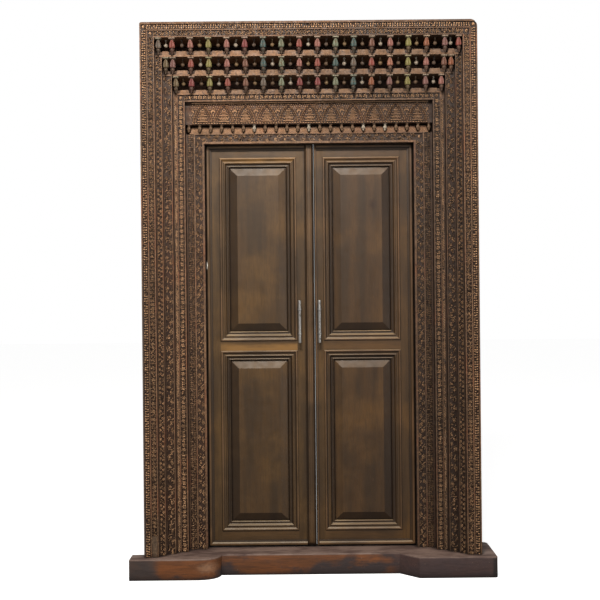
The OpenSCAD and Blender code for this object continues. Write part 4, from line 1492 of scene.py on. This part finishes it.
def eased(profile: list[Flat], steps: int = 4) -> list[Flat]:
    """Rounds a moulding's section between its first and last two points.

    Args:
        profile: The section's points in millimetres.
        steps: Points made for each span.

    Returns:
        The smoother section.
    """
    body = profile[1:-1]
    out = [profile[0]]
    for i in range(len(body) - 1):
        p0, p1, p2 = body[max(i - 1, 0)], body[i], body[i + 1]
        p3 = body[min(i + 2, len(body) - 1)]
        for k in range(steps):
            t = k / steps
            out.append(tuple(0.5 * (2 * p1[a] + (p2[a] - p0[a]) * t
                                    + (2 * p0[a] - 5 * p1[a] + 4 * p2[a] - p3[a]) * t * t
                                    + (3 * p1[a] - p0[a] - 3 * p2[a] + p3[a]) * t ** 3) for a in (0, 1)))
    return out + [body[-1], profile[-1]]


@dataclass
class MouldedFrame:
    """Mitred lengths of moulding round a rectangle of the leaf's face."""

    name: str
    low: Flat
    high: Flat
    seat: float
    profile: list[Flat]
    sides: tuple[str, ...] = ("bottom", "right", "top", "left")
    squared: float | None = None

    def corner(self, which: int, reach: float) -> Flat:
        """Returns a point at a corner, drawn in along both edges."""
        x = self.low[0] + reach if which in (0, 3) else self.high[0] - reach
        z = self.low[1] + reach if which in (0, 1) else self.high[1] - reach
        if self.squared is not None:
            inner = self.high[0] if self.squared > 0 else self.low[0]
            if which in ((1, 2) if self.squared > 0 else (0, 3)):
                x = inner
        return x, z

    def build(self, upright: Material, across: Material) -> Object:
        """Makes the lengths, each with its grain along it.

        Args:
            upright: The finish of the standing lengths.
            across: The finish of the lying lengths.

        Returns:
            The finished piece.
        """
        peak = max(h for _, h in self.profile)
        section = eased(self.profile)
        order = {"bottom": (0, 1), "right": (1, 2), "top": (2, 3), "left": (3, 0)}
        made: list[Object] = []
        for side in self.sides:
            s = Sketch()
            a, b = order[side]
            rings, relief = [], []
            for k in range(9):
                t = k / 8
                ring = []
                for reach, h in section:
                    p, q = self.corner(a, reach * MM), self.corner(b, reach * MM)
                    ring.append((p[0] + (q[0] - p[0]) * t, self.seat - h * MM, p[1] + (q[1] - p[1]) * t))
                rings.append(ring)
                relief.append([max(0.0, min(1.0, h / peak)) ** 1.5 for _, h in section])
            s.rings(rings, relief)
            made.append(s.made(f"{self.name}_{side}", upright if side in ("left", "right") else across, 35.0))
        joined(made[0], *made[1:])
        made[0].name = made[0].data.name = self.name
        return made[0]


@dataclass
class Leaf:
    """One door leaf: its framing, panels, mouldings and pull."""

    palette: Palette
    side: Side
    panel_profile: list[Flat] = field(default_factory=lambda: [
        (0.2, 0.2), (0.2, 21), (3, 23), (9, 22.8), (15, 18), (22, 17), (25.5, 19), (30, 18), (36, 11),
        (42, 10),
        (45.5, 12), (49, 10.6), (51.8, 6), (51.8, 0.2)])
    rim_profile: list[Flat] = field(default_factory=lambda: [
        (0.0, 0.0), (0.0, 5), (3, 9), (9, 10), (15, 9), (20, 5), (25, 4), (29, 3), (29, 0.0)])
    bead: float = 10.0
    bar_out: float = 0.040
    post_z: float = 64.5

    @property
    def word(self) -> str:
        """The leaf's name in the CAD."""
        return self.side.name.lower()

    def build(self) -> None:
        """Dresses the leaf and makes its finer pieces."""
        p, w = self.palette, self.word
        dress(p.leaf_upright, f"{w}_hanging_stile", f"{w}_meeting_stile")
        dress(p.leaf_across, f"{w}_top_rail", f"{w}_mid_rail", f"{w}_bottom_rail")
        dress(p.leaf_panel, f"{w}_upper_panel", f"{w}_lower_panel")
        dress(p.iron, f"{w}_hinge_frame_plates", f"{w}_hinge_door_plates", f"{w}_hinge_pins")
        for level in ("upper", "lower"):
            node = f"{w}_{level}_moulding"
            low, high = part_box(node)
            ring = MouldedFrame(f"{w}_{level}_panel_moulding", (low.x, low.z), (high.x, high.z), high.y,
                                self.panel_profile)
            register(ring.build(p.mould_upright, p.mould_across), f"{w}_leaf", "leaf_wood", node)
        self.rim()
        self.pull()
        if self.side is Side.LEFT:
            self.astragal()

    def rim(self) -> None:
        """Makes the rim moulding round the leaf's face."""
        p, w = self.palette, self.word
        low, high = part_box(f"{w}_rim_moulding")
        left = self.side is Side.LEFT
        edge = 0.0 if left else self.bead * MM
        sides = ("bottom", "top", "left") if left else ("bottom", "right", "top")
        ring = MouldedFrame(f"{w}_leaf_rim", (low.x + edge, low.z), (high.x, high.z), high.y, self.rim_profile,
                            sides, 1.0 if left else -1.0)
        piece = ring.build(p.mould_upright, p.mould_across)
        if not left:
            s = Sketch()
            section = ((0, 0), (0, 4.5), (2.5, 6), (7.5, 6), (self.bead, 4.5), (self.bead, 0))
            rings = [[(low.x + x * MM, high.y - y * MM, z) for x, y in section]
                     for z in np.linspace(low.z, high.z, 9)]
            s.rings(rings, [[0.2, 0.8, 1.0, 1.0, 0.8, 0.2]] * 9)
            joined(piece, s.made("meeting_bead", p.mould_upright, 35.0))
        register(piece, f"{w}_leaf", "leaf_wood", f"{w}_rim_moulding")

    def astragal(self) -> None:
        """Makes the reeded astragal with its tapered foot."""
        low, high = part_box("astragal")
        width, proud = high.x - low.x, high.y - low.y
        shape = [(0, 0), (0, 0.42), (0.05, 0.55), (0.11, 0.62), (0.15, 0.7), (0.18, 0.92), (0.24, 1.0),
                 (0.31, 0.96),
                 (0.35, 0.8), (0.42, 0.78), (0.5, 0.82), (0.58, 0.78), (0.65, 0.8), (0.69, 0.96), (0.76, 1.0),
                 (0.82, 0.92), (0.85, 0.7), (0.89, 0.62), (0.95, 0.55), (1, 0.42), (1, 0)]
        s = Sketch()
        levels = [low.z, low.z + 0.004, low.z + 0.009, low.z + 0.016, low.z + 0.026]
        levels += list(np.linspace(low.z + 0.06, high.z, 8))
        share = [0.4, 0.55, 0.75, 0.95, 1.0] + [1.0] * 8
        rings = [[(low.x + a * width, high.y - b * proud * k, z) for a, b in shape]
                 for z, k in zip(levels, share)]
        s.rings(rings, [[b for _, b in shape]] * len(levels))
        piece = s.made("meeting_astragal", self.palette.mould_upright, 35.0)
        register(piece, "left_leaf", "leaf_wood", "astragal")

    def pull(self) -> None:
        """Makes the bar pull: a bar with eased ends, two ringed posts and their rosettes."""
        w = self.word
        low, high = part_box(f"{w}_handle")
        x = (low.x + high.x) / 2
        leaf = high.y
        axis = leaf - self.bar_out
        middle = (low.z + high.z) / 2
        half = (high.z - low.z) / 2 / MM
        bar = Sketch()
        end = [(2.0, half), (6.0, half - 0.3), (7.2, half - 1.4), (7.5, half - 3)]
        ring = [(7.5, 6.2), (6.9, 5.6), (6.9, 5.0), (9.2, 4.0), (9.45, 2.8)]
        rows = [(r, -h) for r, h in end]
        for centre in (-self.post_z, self.post_z):
            rows += [(r, centre - h) for r, h in ring] + [(r, centre + h) for r, h in ring[::-1]]
        rows += end[::-1]
        bar.turned(rows, 24)
        pull = Sketch()
        pull.join(bar.moved((x, axis, middle)))
        post = Sketch()
        post.turned([(2, 0.0), (9.4, 0.1), (10.0, 0.8), (9.6, 2.6), (7.6, 3.8), (5.6, 4.4), (4.9, 7.0),
                     (4.9, 30.0), (5.6, 33.0), (5.6, 36.0), (2, 39.5)], 20)
        for centre in (-self.post_z * MM, self.post_z * MM):
            turned = Sketch()
            points = [(px + x, leaf - pz, py + middle + centre) for px, py, pz in post.points]
            turned.add(points, post.faces, post.relief)
            pull.join(turned)
        piece = pull.made(f"{w}_bar_pull", self.palette.steel, 40.0)
        register(piece, f"{w}_leaf", "steel", f"{w}_handle")


@dataclass
class Threshold:
    """The threshold with its two forward horns, worn at every edge."""

    palette: Palette
    ease: float = 0.004

    def build(self) -> None:
        """Makes the worn threshold from the CAD's shape."""
        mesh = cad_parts["threshold_sill"].data.copy()
        work = bmesh.new()
        work.from_mesh(mesh)
        bmesh.ops.remove_doubles(work, verts=work.verts[:], dist=1e-5)
        bmesh.ops.dissolve_limit(work, angle_limit=math.radians(2), verts=work.verts[:], edges=work.edges[:])
        sharp = [e for e in work.edges if len(e.link_faces) == 2 and e.calc_face_angle() > math.radians(25)]
        bmesh.ops.bevel(work, geom=sharp, offset=self.ease, segments=3, profile=0.5, affect="EDGES",
                        clamp_overlap=True)
        bmesh.ops.recalc_face_normals(work, faces=work.faces[:])
        work.to_mesh(mesh)
        work.free()
        piece = placed("worn_threshold", mesh, self.palette.threshold, 40.0)
        register(piece, "frame", "threshold_wood", "threshold_sill")


@dataclass
class Studio:
    """Camera, lights and floor."""

    lens: float = 62.3
    eye: Point = (-0.055, -5.40, 1.411)
    roll: float = 0.55
    ambient: float = 0.3

    def area(self, name: str, place: Point, aim: Point, size: Flat, power: float,
             tint: Rgb = (255, 255, 255)) -> Object:
        """Adds one soft area light.

        Args:
            name: The light's name.
            place: Where it stands.
            aim: The point it faces.
            size: Its width and height.
            power: Its power in watts.
            tint: Its colour.

        Returns:
            The light's object.
        """
        lamp = bpy.data.lights.new(name, "AREA")
        lamp.shape, lamp.size, lamp.size_y, lamp.energy = "RECTANGLE", size[0], size[1], power
        lamp.color = linear(tint)[:3]
        made = bpy.data.objects.new(name, lamp)
        made.location = place
        made.rotation_euler = (Vector(aim) - Vector(place)).to_track_quat("-Z", "Y").to_euler()
        bpy.context.scene.collection.objects.link(made)
        return made

    def build(self) -> None:
        """Sets up the studio."""
        scene = bpy.context.scene
        scene.view_settings.view_transform = "Standard"
        lens = bpy.data.cameras.new("studio_camera")
        lens.lens, lens.sensor_width = self.lens, 36.0
        camera = bpy.data.objects.new("studio_camera", lens)
        camera.location = self.eye
        camera.rotation_euler = (math.radians(90), math.radians(self.roll), 0)
        scene.collection.objects.link(camera)
        scene.camera = camera
        world = bpy.data.worlds.new("studio_air")
        world.use_nodes = True
        nodes, links = world.node_tree.nodes, world.node_tree.links
        air = nodes["Background"]
        seen = nodes.new("ShaderNodeLightPath").outputs["Is Camera Ray"]
        power = nodes.new("ShaderNodeMapRange")
        power.inputs["To Min"].default_value, power.inputs["To Max"].default_value = self.ambient, 1.0
        links.new(seen, power.inputs["Value"])
        links.new(power.outputs["Result"], air.inputs["Strength"])
        air.inputs["Color"].default_value = (1.0, 1.0, 1.0, 1.0)
        scene.world = world
        self.area("key", (-0.25, -2.9, 4.1), (-0.1, 0, 1.2), (1.2, 0.7), 200, (255, 248, 240))
        self.area("side", (2.7, -3.7, 1.7), (0, 0, 1.4), (0.6, 2.6), 30)
        self.area("front", (-1.2, -6.2, 2.4), (0, 0, 1.4), (2.6, 2.2), 60).visible_glossy = False
        floor = Sketch()
        square = ((-30, -30), (30, -30), (30, 30), (-30, 30))
        floor.rings([[(x, y, z) for x, y in square] for z in (-0.0006, -0.1)], [[0.0] * 4] * 2)
        slab = floor.made("floor", PaleFloor().material())
        slab.visible_diffuse = slab.visible_glossy = False


def main() -> None:
    """Builds the whole door and its studio."""
    logging.basicConfig(level=logging.INFO, format="%(message)s")
    palette = Palette()
    Studio().build()
    Threshold(palette).build()
    SteppedFrame(palette).build()
    Frieze(palette).build()
    HangingTiers(palette).build()
    for side in Side:
        Leaf(palette, side).build()


if __name__ == "__main__":
    main()
